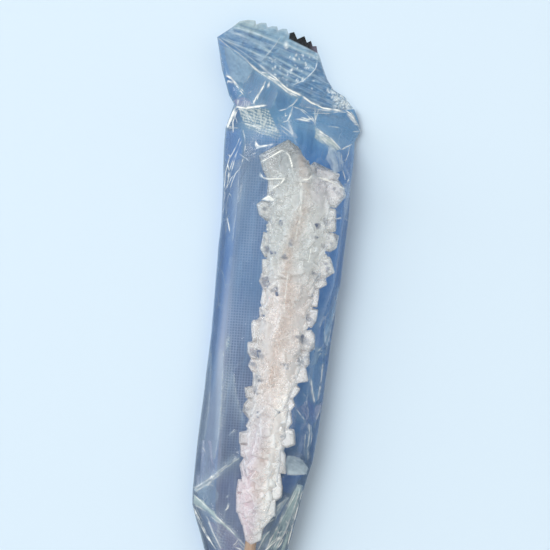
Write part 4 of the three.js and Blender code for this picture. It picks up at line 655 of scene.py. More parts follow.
# ------------------------------------------------------------------ materials
def clear_film():
    """Thin clear film: see-through, glossy, whitish where it is creased: partly the film's own whitening and haze,
    partly painted highlights and sheen.
    """
    m = Material("film_clear")
    where = m.node("ShaderNodeTexCoord").outputs["Object"]
    ripple = m.node("ShaderNodeTexNoise", {"Vector": where, "Scale": 420.0, "Detail": 3.0, "Roughness": 0.55})
    speck = m.node("ShaderNodeTexNoise", {"Vector": where, "Scale": 1500.0, "Detail": 2.0, "Roughness": 0.6}).outputs["Fac"]
    # net of fine creases with small facets between them, as painted highlights on the crease lines and painted sheen on
    # some facets
    web = m.value("web")
    spread = m.node("ShaderNodeMapping", {"Vector": where, "Rotation": (0, 0, math.radians(-7)),
                                          "Scale": (1.0, 0.42, 0.0)}).outputs[0]
    wobble = m.node("ShaderNodeTexNoise", {"Vector": spread, "Scale": 420.0, "Detail": 2.0}).outputs["Color"]
    bent = m.node("ShaderNodeVectorMath", {0: wobble, 1: (0.0022, 0.0022, 0.0), 2: spread}, operation="MULTIPLY_ADD").outputs[0]
    heights, lines = [], []
    for scale, width, seed in ((270.0, 0.030, 0.0), (620.0, 0.055, 0.011)):
        moved = m.node("ShaderNodeVectorMath", {0: bent, 1: (seed, seed * 1.7, 0.0)}, operation="ADD").outputs[0]
        border = m.node("ShaderNodeTexVoronoi", {"Vector": moved, "Scale": scale}, feature="DISTANCE_TO_EDGE").outputs["Distance"]
        cell = m.node("ShaderNodeTexVoronoi", {"Vector": moved, "Scale": scale}).outputs["Color"]
        parts = m.node("ShaderNodeSeparateColor", {"Color": cell})
        thin = m.math("SUBTRACT", 1.0, m.math("DIVIDE", border, width), clamp=True)
        pick = m.node("ShaderNodeTexNoise", {"Vector": moved, "Scale": scale * 0.6, "Detail": 1.0}).outputs["Fac"]
        pick = m.math("MULTIPLY", m.math("SUBTRACT", pick, 0.50), 7.0, clamp=True)
        lines.append(m.math("MULTIPLY", thin, pick))
        heights.append(m.math("MULTIPLY", m.math("MINIMUM", border, 0.16), m.math("SUBTRACT", parts.outputs[0], 0.35)))
        if seed == 0.0:
            pale = m.math("MULTIPLY", m.math("POWER", parts.outputs[1], 4.0), 0.2)
    net = m.math("ADD", m.math("MULTIPLY", lines[0], 0.62), m.math("MULTIPLY", lines[1], 0.5), clamp=True)
    net = m.math("MULTIPLY", m.math("ADD", net, pale), web, clamp=True)
    height = m.math("MULTIPLY", m.math("ADD", heights[0], m.math("MULTIPLY", heights[1], 0.5)), web)
    folds = m.node("ShaderNodeBump", {"Height": height, "Strength": 0.4, "Distance": 0.0012})
    bump = m.node("ShaderNodeBump", {"Height": ripple.outputs["Fac"], "Strength": 0.12, "Distance": 0.0004, "Normal": folds.outputs[0]})
    facing = m.node("ShaderNodeLayerWeight", {"Blend": 0.5, "Normal": bump.outputs[0]}).outputs["Facing"]
    schlick = m.math("MULTIPLY_ADD", m.math("POWER", facing, 4.0), 0.55)
    schlick.node.inputs[2].default_value = 0.03
    clear = m.node("ShaderNodeBsdfTransparent", {"Color": (0.95, 0.978, 1.0, 1)})
    gloss = m.node("ShaderNodeBsdfAnisotropic", {"Color": (1, 1, 1, 1), "Roughness": 0.18, "Normal": bump.outputs[0]})
    film = m.node("ShaderNodeMixShader", {0: schlick, 1: clear, 2: gloss})
    fleck = m.math("MULTIPLY_ADD", speck, 0.3)
    fleck.node.inputs[2].default_value = 0.87
    sheen_and_haze = m.math("MULTIPLY", m.value("sheen_and_haze"), fleck, clamp=True)
    sheen_and_haze = m.math("MAXIMUM", sheen_and_haze, net)
    pallor = m.math("MULTIPLY", m.math("SUBTRACT", net, 0.18), 3.0, clamp=True)
    sheen_and_haze_color = m.blend(pallor, m.color("sheen_and_haze_color"), rgba(lin(236, 240, 238)))
    sheen_and_haze_layer = m.node("ShaderNodeBsdfPrincipled", {"Base Color": sheen_and_haze_color, "Roughness": 0.3, "Specular IOR Level": 0.35,
                                               "Normal": bump.outputs[0]})
    return m.finish(m.node("ShaderNodeMixShader", {0: sheen_and_haze, 1: film, 2: sheen_and_haze_layer}))


def back_film():
    m = Material("film_back")
    where = m.node("ShaderNodeTexCoord").outputs["Object"]
    knurl = m.value("knurl")
    turned = m.node("ShaderNodeMapping", {"Vector": where, "Rotation": (0, 0, math.radians(-4))}).outputs[0]
    xyz = m.node("ShaderNodeSeparateXYZ", {"Vector": turned})
    pitch = 2 * math.pi / 0.00074
    wave_x = m.math("SINE", m.math("MULTIPLY", xyz.outputs[0], pitch))
    wave_y = m.math("SINE", m.math("MULTIPLY", xyz.outputs[1], pitch))
    waffle = m.math("MULTIPLY_ADD", m.math("MULTIPLY", wave_x, wave_y), 0.5)
    waffle.node.inputs[2].default_value = 0.5
    lines = m.math("MAXIMUM", wave_x, wave_y)
    cloud = m.node("ShaderNodeTexNoise", {"Vector": where, "Scale": 130.0, "Detail": 4.0, "Roughness": 0.6})
    grain = m.node("ShaderNodeTexNoise", {"Vector": where, "Scale": 900.0, "Detail": 2.0})
    drawn = m.node("ShaderNodeMapping", {"Vector": where, "Rotation": (0, 0, math.radians(-3)), "Scale": (1.0, 0.07, 0.0)}).outputs[0]
    drawn = m.node("ShaderNodeTexNoise", {"Vector": drawn, "Scale": 520.0, "Detail": 3.0, "Roughness": 0.6}).outputs["Fac"]
    lighter = m.math("MULTIPLY", m.math("SUBTRACT", drawn, 0.52), 4.0, clamp=True)
    darker = m.math("MULTIPLY", m.math("SUBTRACT", 0.46, drawn), 4.0, clamp=True)
    tone = m.blend(m.math("MULTIPLY", cloud.outputs["Fac"], 0.28), m.color("tone"), rgba(lin(116, 168, 216)))
    tone = m.blend(m.math("MULTIPLY", grain.outputs["Fac"], 0.14), tone, rgba(lin(70, 95, 150)))
    tone = m.blend(m.math("MULTIPLY", lighter, 0.34), tone, rgba(lin(146, 180, 216)))
    tone = m.blend(m.math("MULTIPLY", darker, 0.34), tone, rgba(lin(34, 82, 142)))
    tone = m.blend(m.math("MULTIPLY", m.math("MULTIPLY", lines, knurl, clamp=True), 0.62), tone, rgba(lin(172, 184, 214)))
    # painted glints: rows of small dents that catch the light, broken up by scratches
    tilted = m.node("ShaderNodeMapping", {"Vector": where, "Rotation": (0, 0, math.radians(11))}).outputs[0]
    shaken = m.node("ShaderNodeTexNoise", {"Vector": tilted, "Scale": 520.0, "Detail": 3.0}).outputs["Color"]
    tilted = m.node("ShaderNodeVectorMath", {0: shaken, 1: (0.0016, 0.0012, 0.0), 2: tilted}, operation="MULTIPLY_ADD").outputs[0]
    uv = m.node("ShaderNodeSeparateXYZ", {"Vector": tilted})
    row = m.math("MULTIPLY_ADD", m.math("SINE", m.math("MULTIPLY", uv.outputs[1], 2 * math.pi / 0.00078)), 0.5)
    row.node.inputs[2].default_value = 0.5
    dot = m.math("MULTIPLY_ADD", m.math("SINE", m.math("MULTIPLY", uv.outputs[0], 2 * math.pi / 0.00084)), 0.5)
    dot.node.inputs[2].default_value = 0.5
    scratches = m.node("ShaderNodeMapping", {"Vector": where, "Rotation": (0, 0, math.radians(38)), "Scale": (1.0, 0.22, 0.0)}).outputs[0]
    scratches = m.node("ShaderNodeTexNoise", {"Vector": scratches, "Scale": 1300.0, "Detail": 3.0, "Roughness": 0.7}).outputs["Fac"]
    scratch = m.math("MULTIPLY", m.math("SUBTRACT", scratches, 0.50), 7.0, clamp=True)
    patchy = m.math("MULTIPLY", m.math("SUBTRACT", cloud.outputs["Fac"], 0.30), 2.6, clamp=True)
    dots = m.math("MULTIPLY", m.math("POWER", row, 1.4), m.math("MULTIPLY_ADD", dot, 0.75))
    dots.node.inputs[1].links[0].from_node.inputs[2].default_value = 0.3
    shine = m.math("ADD", m.math("MULTIPLY", m.math("MULTIPLY", dots, patchy), 1.5), m.math("MULTIPLY", scratch, 0.85), clamp=True)
    amount = m.value("gleam")
    tone = m.blend(m.math("MULTIPLY", amount, 0.55, clamp=True), tone, rgba(lin(132, 164, 182)))
    tone = m.blend(m.math("MULTIPLY", shine, amount, clamp=True), tone, rgba(lin(236, 243, 238)))
    height = m.math("ADD", m.math("MULTIPLY", m.math("MULTIPLY", waffle, knurl), 0.8), m.math("MULTIPLY", cloud.outputs["Fac"], 0.5))
    bump = m.node("ShaderNodeBump", {"Height": height, "Strength": 0.35, "Distance": 0.0003})
    rough = m.math("MULTIPLY_ADD", cloud.outputs["Fac"], 0.2)
    rough.node.inputs[2].default_value = 0.2
    film = m.node("ShaderNodeBsdfPrincipled", {"Base Color": tone, "Roughness": rough, "Alpha": 0.95, "Specular IOR Level": 0.3,
                                               "Normal": bump.outputs[0]})
    return m.finish(film)


def seal_film():
    m = Material("film_seal")
    where = m.node("ShaderNodeTexCoord").outputs["Object"]
    cloud = m.node("ShaderNodeTexNoise", {"Vector": where, "Scale": 260.0, "Detail": 4.0, "Roughness": 0.65})
    fine = m.node("ShaderNodeTexNoise", {"Vector": where, "Scale": 1500.0, "Detail": 2.0})
    tone = m.blend(m.math("MULTIPLY", cloud.outputs["Fac"], 0.24), m.color("tone"), rgba(lin(170, 194, 208)))
    tone = m.blend(m.math("MULTIPLY", fine.outputs["Fac"], 0.16), tone, rgba(lin(60, 100, 140)))
    pressed = m.node("ShaderNodeMapping", {"Vector": where, "Rotation": (0, 0, math.radians(14)), "Scale": (0.3, 1.0, 0.0)}).outputs[0]
    pressed = m.node("ShaderNodeTexNoise", {"Vector": pressed, "Scale": 1500.0, "Detail": 3.0, "Roughness": 0.65}).outputs["Fac"]
    tone = m.blend(m.math("MULTIPLY", m.math("SUBTRACT", pressed, 0.52), 2.3, clamp=True), tone, rgba(lin(150, 184, 204)))
    tone = m.blend(m.math("MULTIPLY", m.math("SUBTRACT", 0.46, pressed), 2.2, clamp=True), tone, rgba(lin(40, 88, 136)))
    # painted glints and highlights of the crushed end
    tone = m.blend(m.value("white"), tone, rgba(lin(236, 244, 244)))
    ink = m.value("ink")
    tone = m.blend(ink, tone, m.color("ink_color"))
    bump = m.node("ShaderNodeBump", {"Height": fine.outputs["Fac"], "Strength": 0.25, "Distance": 0.0002})
    film = m.node("ShaderNodeBsdfPrincipled", {"Base Color": tone, "Roughness": 0.3, "Specular IOR Level": 0.3,
                                               "Normal": bump.outputs[0]})
    alpha = m.math("MULTIPLY_ADD", ink, 0.08, clamp=True)
    alpha.node.inputs[2].default_value = 0.9
    m.tree.links.new(alpha, film.inputs["Alpha"])
    return m.finish(film)


def sugar_glass():
    """Clear outer sugar: glassy, faintly cloudy, whitish on its cut edges."""
    m = Material("sugar_clear")
    where = m.node("ShaderNodeTexCoord").outputs["Object"]
    cloud = m.node("ShaderNodeTexNoise", {"Vector": where, "Scale": 260.0, "Detail": 4.0, "Roughness": 0.6})
    wisp = m.node("ShaderNodeTexNoise", {"Vector": where, "Scale": 850.0, "Detail": 3.0, "Roughness": 0.6})
    milky = m.math("MULTIPLY", m.math("SUBTRACT", cloud.outputs["Fac"], 0.42), 2.4, clamp=True)
    milky = m.math("MULTIPLY", milky, m.value("frost"))
    milky = m.math("ADD", milky, m.math("MULTIPLY", m.value("frost"), 0.58))
    milky = m.math("ADD", milky, m.math("MULTIPLY", m.value("edge"), 0.30), clamp=True)
    clear = m.math("SUBTRACT", 0.95, milky, clamp=True)
    rough = m.math("MULTIPLY_ADD", wisp.outputs["Fac"], 0.16)
    rough.node.inputs[2].default_value = 0.19
    color = m.blend(m.math("MULTIPLY", wisp.outputs["Fac"], 0.3), m.color("tint"), rgba((0.93, 0.93, 0.92)))
    bump = m.node("ShaderNodeBump", {"Height": cloud.outputs["Fac"], "Strength": 0.22, "Distance": 0.0006})
    fine = m.node("ShaderNodeBump", {"Height": wisp.outputs["Fac"], "Strength": 0.10, "Distance": 0.0003,
                                     "Normal": bump.outputs[0]})
    body = m.node("ShaderNodeBsdfPrincipled", {
        "Base Color": color, "Roughness": rough, "IOR": 1.38, "Transmission Weight": clear,
        "Subsurface Weight": 0.8, "Subsurface Radius": (1.0, 0.95, 0.9), "Subsurface Scale": 0.0016,
        "Normal": fine.outputs[0]})
    return m.finish(body)


def sugar_milk():
    """Cloudy heart of the crystals, with its tints."""
    m = Material("sugar_cloudy")
    where = m.node("ShaderNodeTexCoord").outputs["Object"]
    cloud = m.node("ShaderNodeTexNoise", {"Vector": where, "Scale": 300.0, "Detail": 5.0, "Roughness": 0.7})
    wisp = m.node("ShaderNodeTexNoise", {"Vector": where, "Scale": 1100.0, "Detail": 3.0, "Roughness": 0.6})
    light = m.math("MULTIPLY", m.math("SUBTRACT", cloud.outputs["Fac"], 0.50), 3.2, clamp=True)
    dark = m.math("MULTIPLY", m.math("SUBTRACT", 0.50, cloud.outputs["Fac"]), 3.2, clamp=True)
    tone = m.blend(m.math("MULTIPLY", light, 0.26), m.color("tint"), rgba(lin(232, 232, 228)))
    tone = m.blend(m.math("MULTIPLY", dark, 0.22), tone, rgba(lin(166, 170, 178)))
    tone = m.blend(m.math("MULTIPLY", wisp.outputs["Fac"], 0.16), tone, rgba(lin(188, 190, 192)))
    cell = m.node("ShaderNodeTexVoronoi", {"Vector": where, "Scale": 560.0}).outputs["Color"]
    shade = m.node("ShaderNodeSeparateColor", {"Color": cell}).outputs[0]
    border = m.node("ShaderNodeTexVoronoi", {"Vector": where, "Scale": 560.0}, feature="DISTANCE_TO_EDGE").outputs["Distance"]
    edge = m.math("SUBTRACT", 1.0, m.math("DIVIDE", border, 0.05), clamp=True)
    tone = m.blend(m.math("MULTIPLY", shade, 0.12), tone, rgba(lin(168, 168, 170)))
    crisp = m.node("ShaderNodeTexNoise", {"Vector": where, "Scale": 820.0, "Detail": 3.0, "Roughness": 0.6, "Distortion": 0.6}).outputs["Fac"]
    chip = m.node("ShaderNodeTexVoronoi", {"Vector": where, "Scale": 1000.0}).outputs["Color"]
    chip = m.node("ShaderNodeSeparateColor", {"Color": chip}).outputs[1]
    crisp = m.math("ADD", m.math("MULTIPLY", crisp, 0.6), m.math("MULTIPLY", chip, 0.42))
    hole = m.math("SUBTRACT", m.math("ADD", crisp, m.math("MULTIPLY", m.value("dark"), 0.54)), 0.78)
    hole = m.math("MULTIPLY", hole, 12.0, clamp=True)
    hole = m.math("MULTIPLY", hole, m.math("MULTIPLY", m.math("SUBTRACT", m.value("dark"), 0.12), 4.0, clamp=True))
    tone = m.blend(m.math("MULTIPLY", hole, 0.88), tone, rgba(lin(60, 80, 116)))
    tone = m.blend(m.math("MULTIPLY", m.math("MULTIPLY", edge, cloud.outputs["Fac"]), 0.4), tone, rgba(lin(236, 236, 232)))
    bump = m.node("ShaderNodeBump", {"Height": cloud.outputs["Fac"], "Strength": 0.25, "Distance": 0.0005})
    body = m.node("ShaderNodeBsdfPrincipled", {
        "Base Color": tone, "Roughness": 0.5, "Subsurface Weight": 0.8, "Subsurface Radius": (1.0, 0.95, 0.9),
        "Subsurface Scale": 0.0016, "Normal": bump.outputs[0]})
    return m.finish(body)


def wood():
    m = Material("stick_birch")
    where = m.node("ShaderNodeTexCoord").outputs["Object"]
    long_grain = m.node("ShaderNodeMapping", {"Vector": where, "Scale": (1.0, 0.045, 1.0)}).outputs[0]
    grain = m.node("ShaderNodeTexNoise", {"Vector": long_grain, "Scale": 2600.0, "Detail": 5.0, "Roughness": 0.65})
    broad = m.node("ShaderNodeTexNoise", {"Vector": long_grain, "Scale": 620.0, "Detail": 3.0})
    flecks = m.node("ShaderNodeTexNoise", {"Vector": long_grain, "Scale": 5200.0, "Detail": 1.0})
    tone = m.ramp(grain.outputs["Fac"], (0.28, lin(172, 132, 104)), (0.52, lin(206, 170, 140)), (0.78, lin(226, 196, 168)))
    tone = m.blend(m.math("MULTIPLY", broad.outputs["Fac"], 0.4), tone, rgba(lin(192, 142, 104)))
    fleck = m.math("MULTIPLY", m.math("SUBTRACT", flecks.outputs["Fac"], 0.62), 4.0, clamp=True)
    tone = m.blend(m.math("MULTIPLY", fleck, 0.5), tone, rgba(lin(120, 80, 54)))
    bump = m.node("ShaderNodeBump", {"Height": grain.outputs["Fac"], "Strength": 0.35, "Distance": 0.00025})
    body = m.node("ShaderNodeBsdfPrincipled", {"Base Color": tone, "Roughness": 0.68, "Normal": bump.outputs[0]})
    return m.finish(body)


def floor_material():
    m = Material("studio_floor")
    where = m.node("ShaderNodeTexCoord").outputs["Object"]
    faint = m.node("ShaderNodeTexNoise", {"Vector": where, "Scale": 2.0, "Detail": 1.0})
    tone = m.blend(m.math("MULTIPLY", faint.outputs["Fac"], 0.012), rgba(FLOOR_COLOR), rgba(FLOOR_COLOR * 0.9))
    return m.finish(m.node("ShaderNodeBsdfDiffuse", {"Color": tone}))


FLOOR_COLOR = np.array((0.642, 0.776, 0.893))


# ------------------------------------------------------------------ film: surface heights
rng = np.random.default_rng(7301)


def body_points(rows, cols):
    """Grid over the bag from the band's border down to the hem: x, y, u, and the section's heights."""
    t_dense = np.linspace(0, len(SECTIONS) - 1, 2600)
    mid = catmull(SECTIONS[:, :2], t_dense).mean(axis=1)
    order = np.maximum.accumulate(-mid)
    t = np.interp(np.linspace(order[0], order[-1], rows), order, t_dense)
    s = catmull(SECTIONS, t)
    yl, yr = s[:, 0], s[:, 1]
    xl, xr = along(LEFT, yl), along(RIGHT, yr)
    ym = (yl + yr) / 2
    u = np.linspace(0, 1, cols)[None, :]
    rounded = smooth((-44 - ym) / 10)[:, None]
    w = (1 - np.cos(np.pi * u)) / 2
    wide = mix(0.62 * u + 0.38 * w, w, rounded)
    x = mix(xl[:, None], xr[:, None], wide)
    y = mix(yl[:, None], yr[:, None], wide)
    bow_x = mix(BORDER[0, 0], BORDER[-1, 0], wide)
    bow = np.interp(bow_x, BORDER[:, 0], BORDER[:, 1]) - mix(BORDER[0, 1], BORDER[-1, 1], wide)
    first = (order[0] * -1 - ym)[:, None]
    y = y + bow * (1 - smooth(first / 11.0))
    return dict(x=x, y=y, u=np.broadcast_to(u, x.shape), wide=wide, xl=xl[:, None], xr=xr[:, None], ym=ym[:, None],
                high=s[:, 2][:, None], fold_l=s[:, 3][:, None], fold_r=s[:, 4][:, None], rounded=rounded)


def facet_network(x, y):
    """Folded-paper facets: heights on a random net, straight between its points, with painted highlights on its folds.
    """
    stretch = lambda v: np.interp(v, [-80, -40, -14, 50, 66, 110], [-46, -20, -6, 13, 26, 70])
    points, heights = [], []
    for px in np.arange(-32, 20, 4.4):
        for py in np.arange(-52, 76, 4.4):
            jx, jy = px + rng.uniform(-1.9, 1.9), py + rng.uniform(-1.9, 1.9)
            points.append((jx, jy))
            heights.append(rng.uniform(-1, 1))
    verts, _, faces, orig, _, _ = delaunay_2d_cdt([Vector(p) for p in points], [], [], 0, 1e-4)
    pos = np.array([tuple(v) for v in verts])
    h = np.array([heights[o[0]] if o else 0.0 for o in orig])
    flat_x, flat_y = x.ravel(), stretch(y.ravel())
    out = np.zeros(flat_x.shape)
    grad = np.zeros((len(faces), 2))
    for index, f in enumerate(faces):
        a, b, c = pos[list(f)]
        d = (b[0] - a[0]) * (c[1] - a[1]) - (c[0] - a[0]) * (b[1] - a[1])
        box = ((flat_x >= min(a[0], b[0], c[0])) & (flat_x <= max(a[0], b[0], c[0]))
               & (flat_y >= min(a[1], b[1], c[1])) & (flat_y <= max(a[1], b[1], c[1])))
        where = np.nonzero(box)[0]
        w1 = ((flat_x[where] - a[0]) * (c[1] - a[1]) - (c[0] - a[0]) * (flat_y[where] - a[1])) / d
        w2 = ((b[0] - a[0]) * (flat_y[where] - a[1]) - (flat_x[where] - a[0]) * (b[1] - a[1])) / d
        inside = (w1 >= -1e-6) & (w2 >= -1e-6) & (w1 + w2 <= 1 + 1e-6)
        ha, hb, hc = h[list(f)]
        out[where[inside]] = ha + (hb - ha) * w1[inside] + (hc - ha) * w2[inside]
        grad[index] = np.linalg.solve(np.array([b - a, c - a]), np.array([hb - ha, hc - ha]))
    # painted highlight on folds between two facets, where the fold is sharp and points up
    sides = {}
    for index, f in enumerate(faces):
        for k in range(3):
            sides.setdefault(tuple(sorted((f[k], f[(k + 1) % 3]))), []).append(index)
    line = np.zeros(flat_x.shape)
    for (i, j), owners in sides.items():
        if len(owners) != 2:
            continue
        a, b = pos[i], pos[j]
        n = np.array((-(b - a)[1], (b - a)[0])) / (np.linalg.norm(b - a) + 1e-9)
        turn = float((grad[owners[0]] - grad[owners[1]]) @ n)
        mid0 = pos[list(faces[owners[0]])].mean(axis=0)
        if (mid0 - a) @ n > 0:
            turn = -turn
        strength = np.clip(turn * 1.5 - 0.25, 0, 1) * rng.uniform(0.0, 1.0) ** 1.5
        if strength < 0.06:
            continue
        d, t = segment_distance(flat_x, flat_y, a, b)
        line = np.maximum(line, strength * np.exp(-(d / 0.12) ** 2) * np.minimum(1, 6 * np.minimum(t, 1 - t) + 0.25))
    return out.reshape(x.shape), line.reshape(x.shape)


def segment_distance(x, y, a, b):
    dx, dy = b[0] - a[0], b[1] - a[1]
    t = np.clip(((x - a[0]) * dx + (y - a[1]) * dy) / (dx * dx + dy * dy + 1e-9), 0, 1)
    return np.hypot(x - a[0] - t * dx, y - a[1] - t * dy), t


def crease_field(x, y):
    """Bright lines (partly crease whitening, partly painted highlight), painted sheen beside them and raised ridges of
    the listed creases.
    """
    line, crease_sheen, ridge = np.zeros(x.size), np.zeros(x.size), np.zeros(x.size)
    fx, fy = x.ravel(), y.ravel()
    broken = noise2(fx * 0.9 + 31, fy * 0.9 + 17, 5)
    for points, half, bright, soft, reach, high in CREASES:
        pts = np.array(points)
        lo, hi = pts.min(axis=0) - 4, pts.max(axis=0) + 4
        where = np.nonzero((fx > lo[0]) & (fx < hi[0]) & (fy > lo[1]) & (fy < hi[1]))[0]
        if not len(where):
            continue
        sx, sy = fx[where], fy[where]
        lengths = np.hypot(*np.diff(pts, axis=0).T)
        total, done = lengths.sum(), 0.0
        best = np.full(len(where), 1e9)
        side, place_on = np.zeros(len(where)), np.zeros(len(where))
        for a, b, length in zip(pts[:-1], pts[1:], lengths):
            d, t = segment_distance(sx, sy, a, b)
            closer = d < best
            best = np.where(closer, d, best)
            cross = (b[0] - a[0]) * (sy - a[1]) - (b[1] - a[1]) * (sx - a[0])
            side = np.where(closer, np.sign(cross), side)
            place_on = np.where(closer, (done + t * length) / max(total, 1e-6), place_on)
            done += length
        ends = np.clip(np.minimum(place_on, 1 - place_on) * total / 0.9, 0.0, 1) * 0.75 + 0.25
        wide = max(half * 0.8, 0.115)
        gap = 0.3 + 1.25 * broken[where]
        line[where] = np.maximum(line[where], bright * min(1.0, half / 0.13) ** 0.5 * np.exp(-(best / wide) ** 2) * ends * np.clip(gap, 0, 1.15))
        if soft > 0:
            towards = np.where(side * np.sign(reach) < 0, 1.0, 0.0)
            crease_sheen[where] = np.maximum(crease_sheen[where], soft * np.exp(-best / abs(reach)) * towards * ends)
        ridge[where] = np.maximum(ridge[where], high * np.clip(1 - best / (0.9 + high), 0, 1) ** 1.2 * ends)
    return line.reshape(x.shape), crease_sheen.reshape(x.shape), ridge.reshape(x.shape)


def facet_veil(x, y, table):
    """Flat facets of the film painted paler (sheen) or darker (shade), with crisp borders: amount and colour."""
    total, tone = np.zeros(x.shape), np.zeros(x.shape + (3,))
    wob_x, wob_y = x + 0.5 * (noise2(x * 0.7, y * 0.7, 71) - 0.5), y + 0.5 * (noise2(x * 0.7, y * 0.7, 72) - 0.5)
    for points, amount, color, streaky in table:
        pts = np.array(points)
        lo, hi = pts.min(axis=0) - 1, pts.max(axis=0) + 1
        where = np.nonzero((wob_x > lo[0]) & (wob_x < hi[0]) & (wob_y > lo[1]) & (wob_y < hi[1]))
        wx, wy = wob_x[where], wob_y[where]
        inside, near = np.zeros(wx.shape, bool), np.full(wx.shape, 1e9)
        for a, b in zip(pts, np.roll(pts, -1, axis=0)):
            crosses = ((a[1] > wy) != (b[1] > wy))
            at = (b[0] - a[0]) * (wy - a[1]) / (b[1] - a[1] + 1e-12) + a[0]
            inside ^= crosses & (wx < at)
            near = np.minimum(near, segment_distance(wx, wy, a, b)[0])
        axis = np.linalg.svd(pts - pts.mean(axis=0))[2][0]
        across, lengthwise = wx * -axis[1] + wy * axis[0], wx * axis[0] + wy * axis[1]
        streak = noise2(across * 1.1, lengthwise * 0.12, 73) * 0.6 + noise2(across * 3.2, lengthwise * 0.25, 74) * 0.4
        shade = mix(1.0, np.clip(3.0 * streak - 0.85, 0.0, 1.6), streaky)
        k = np.where(inside, smooth(near / 0.35 + 0.2), 0) * amount * shade
        k = np.clip(k * (0.8 + 0.4 * noise2(wx * 1.5, wy * 1.5, 75)), 0, 0.9)
        total[where] = 1 - (1 - total[where]) * (1 - k)
        tone[where] = tone[where] * (1 - k[:, None]) + lin(*color) * k[:, None]
    return total, tone / np.maximum(total, 1e-6)[..., None]


def soft_lines(x, y, rows):
    out = np.zeros(x.shape)
    for points, half, amount in rows:
        pts = np.array(points)
        d = np.full(x.shape, 1e9)
        for a, b in zip(pts[:-1], pts[1:]):
            d = np.minimum(d, segment_distance(x, y, a, b)[0])
        out = np.maximum(out, amount * np.exp(-(d / half) ** 2))
    return out


def hill(p):
    flat_x, ym = p["x"], p["ym"]
    peak = mix((p["xl"] + p["xr"]) / 2, 0.4, 1 - smooth((ym - 66) / 16))
    s = np.where(flat_x < peak, 0.5 * (flat_x - p["xl"]) / (peak - p["xl"]), 0.5 + 0.5 * (flat_x - peak) / (p["xr"] - peak))
    return np.clip(np.sin(np.pi * np.clip(s, 0, 1)), 0, 1) ** 0.8


def pleat(p):
    """Gathers of the neck and the skirt below it."""
    u = p["u"]
    wave = np.cos(2 * np.pi * 9 * u + 0.8 * np.sin(2 * np.pi * u * 2)) + 0.4 * np.cos(2 * np.pi * 17 * u + 1.0)
    flare = 1 + 1.3 * smooth((-62.5 - p["ym"]) / 6)
    return p["rounded"] * 0.3 * wave * flare * np.sin(np.pi * u) ** 0.5


ROWS, COLS = 1000, 196


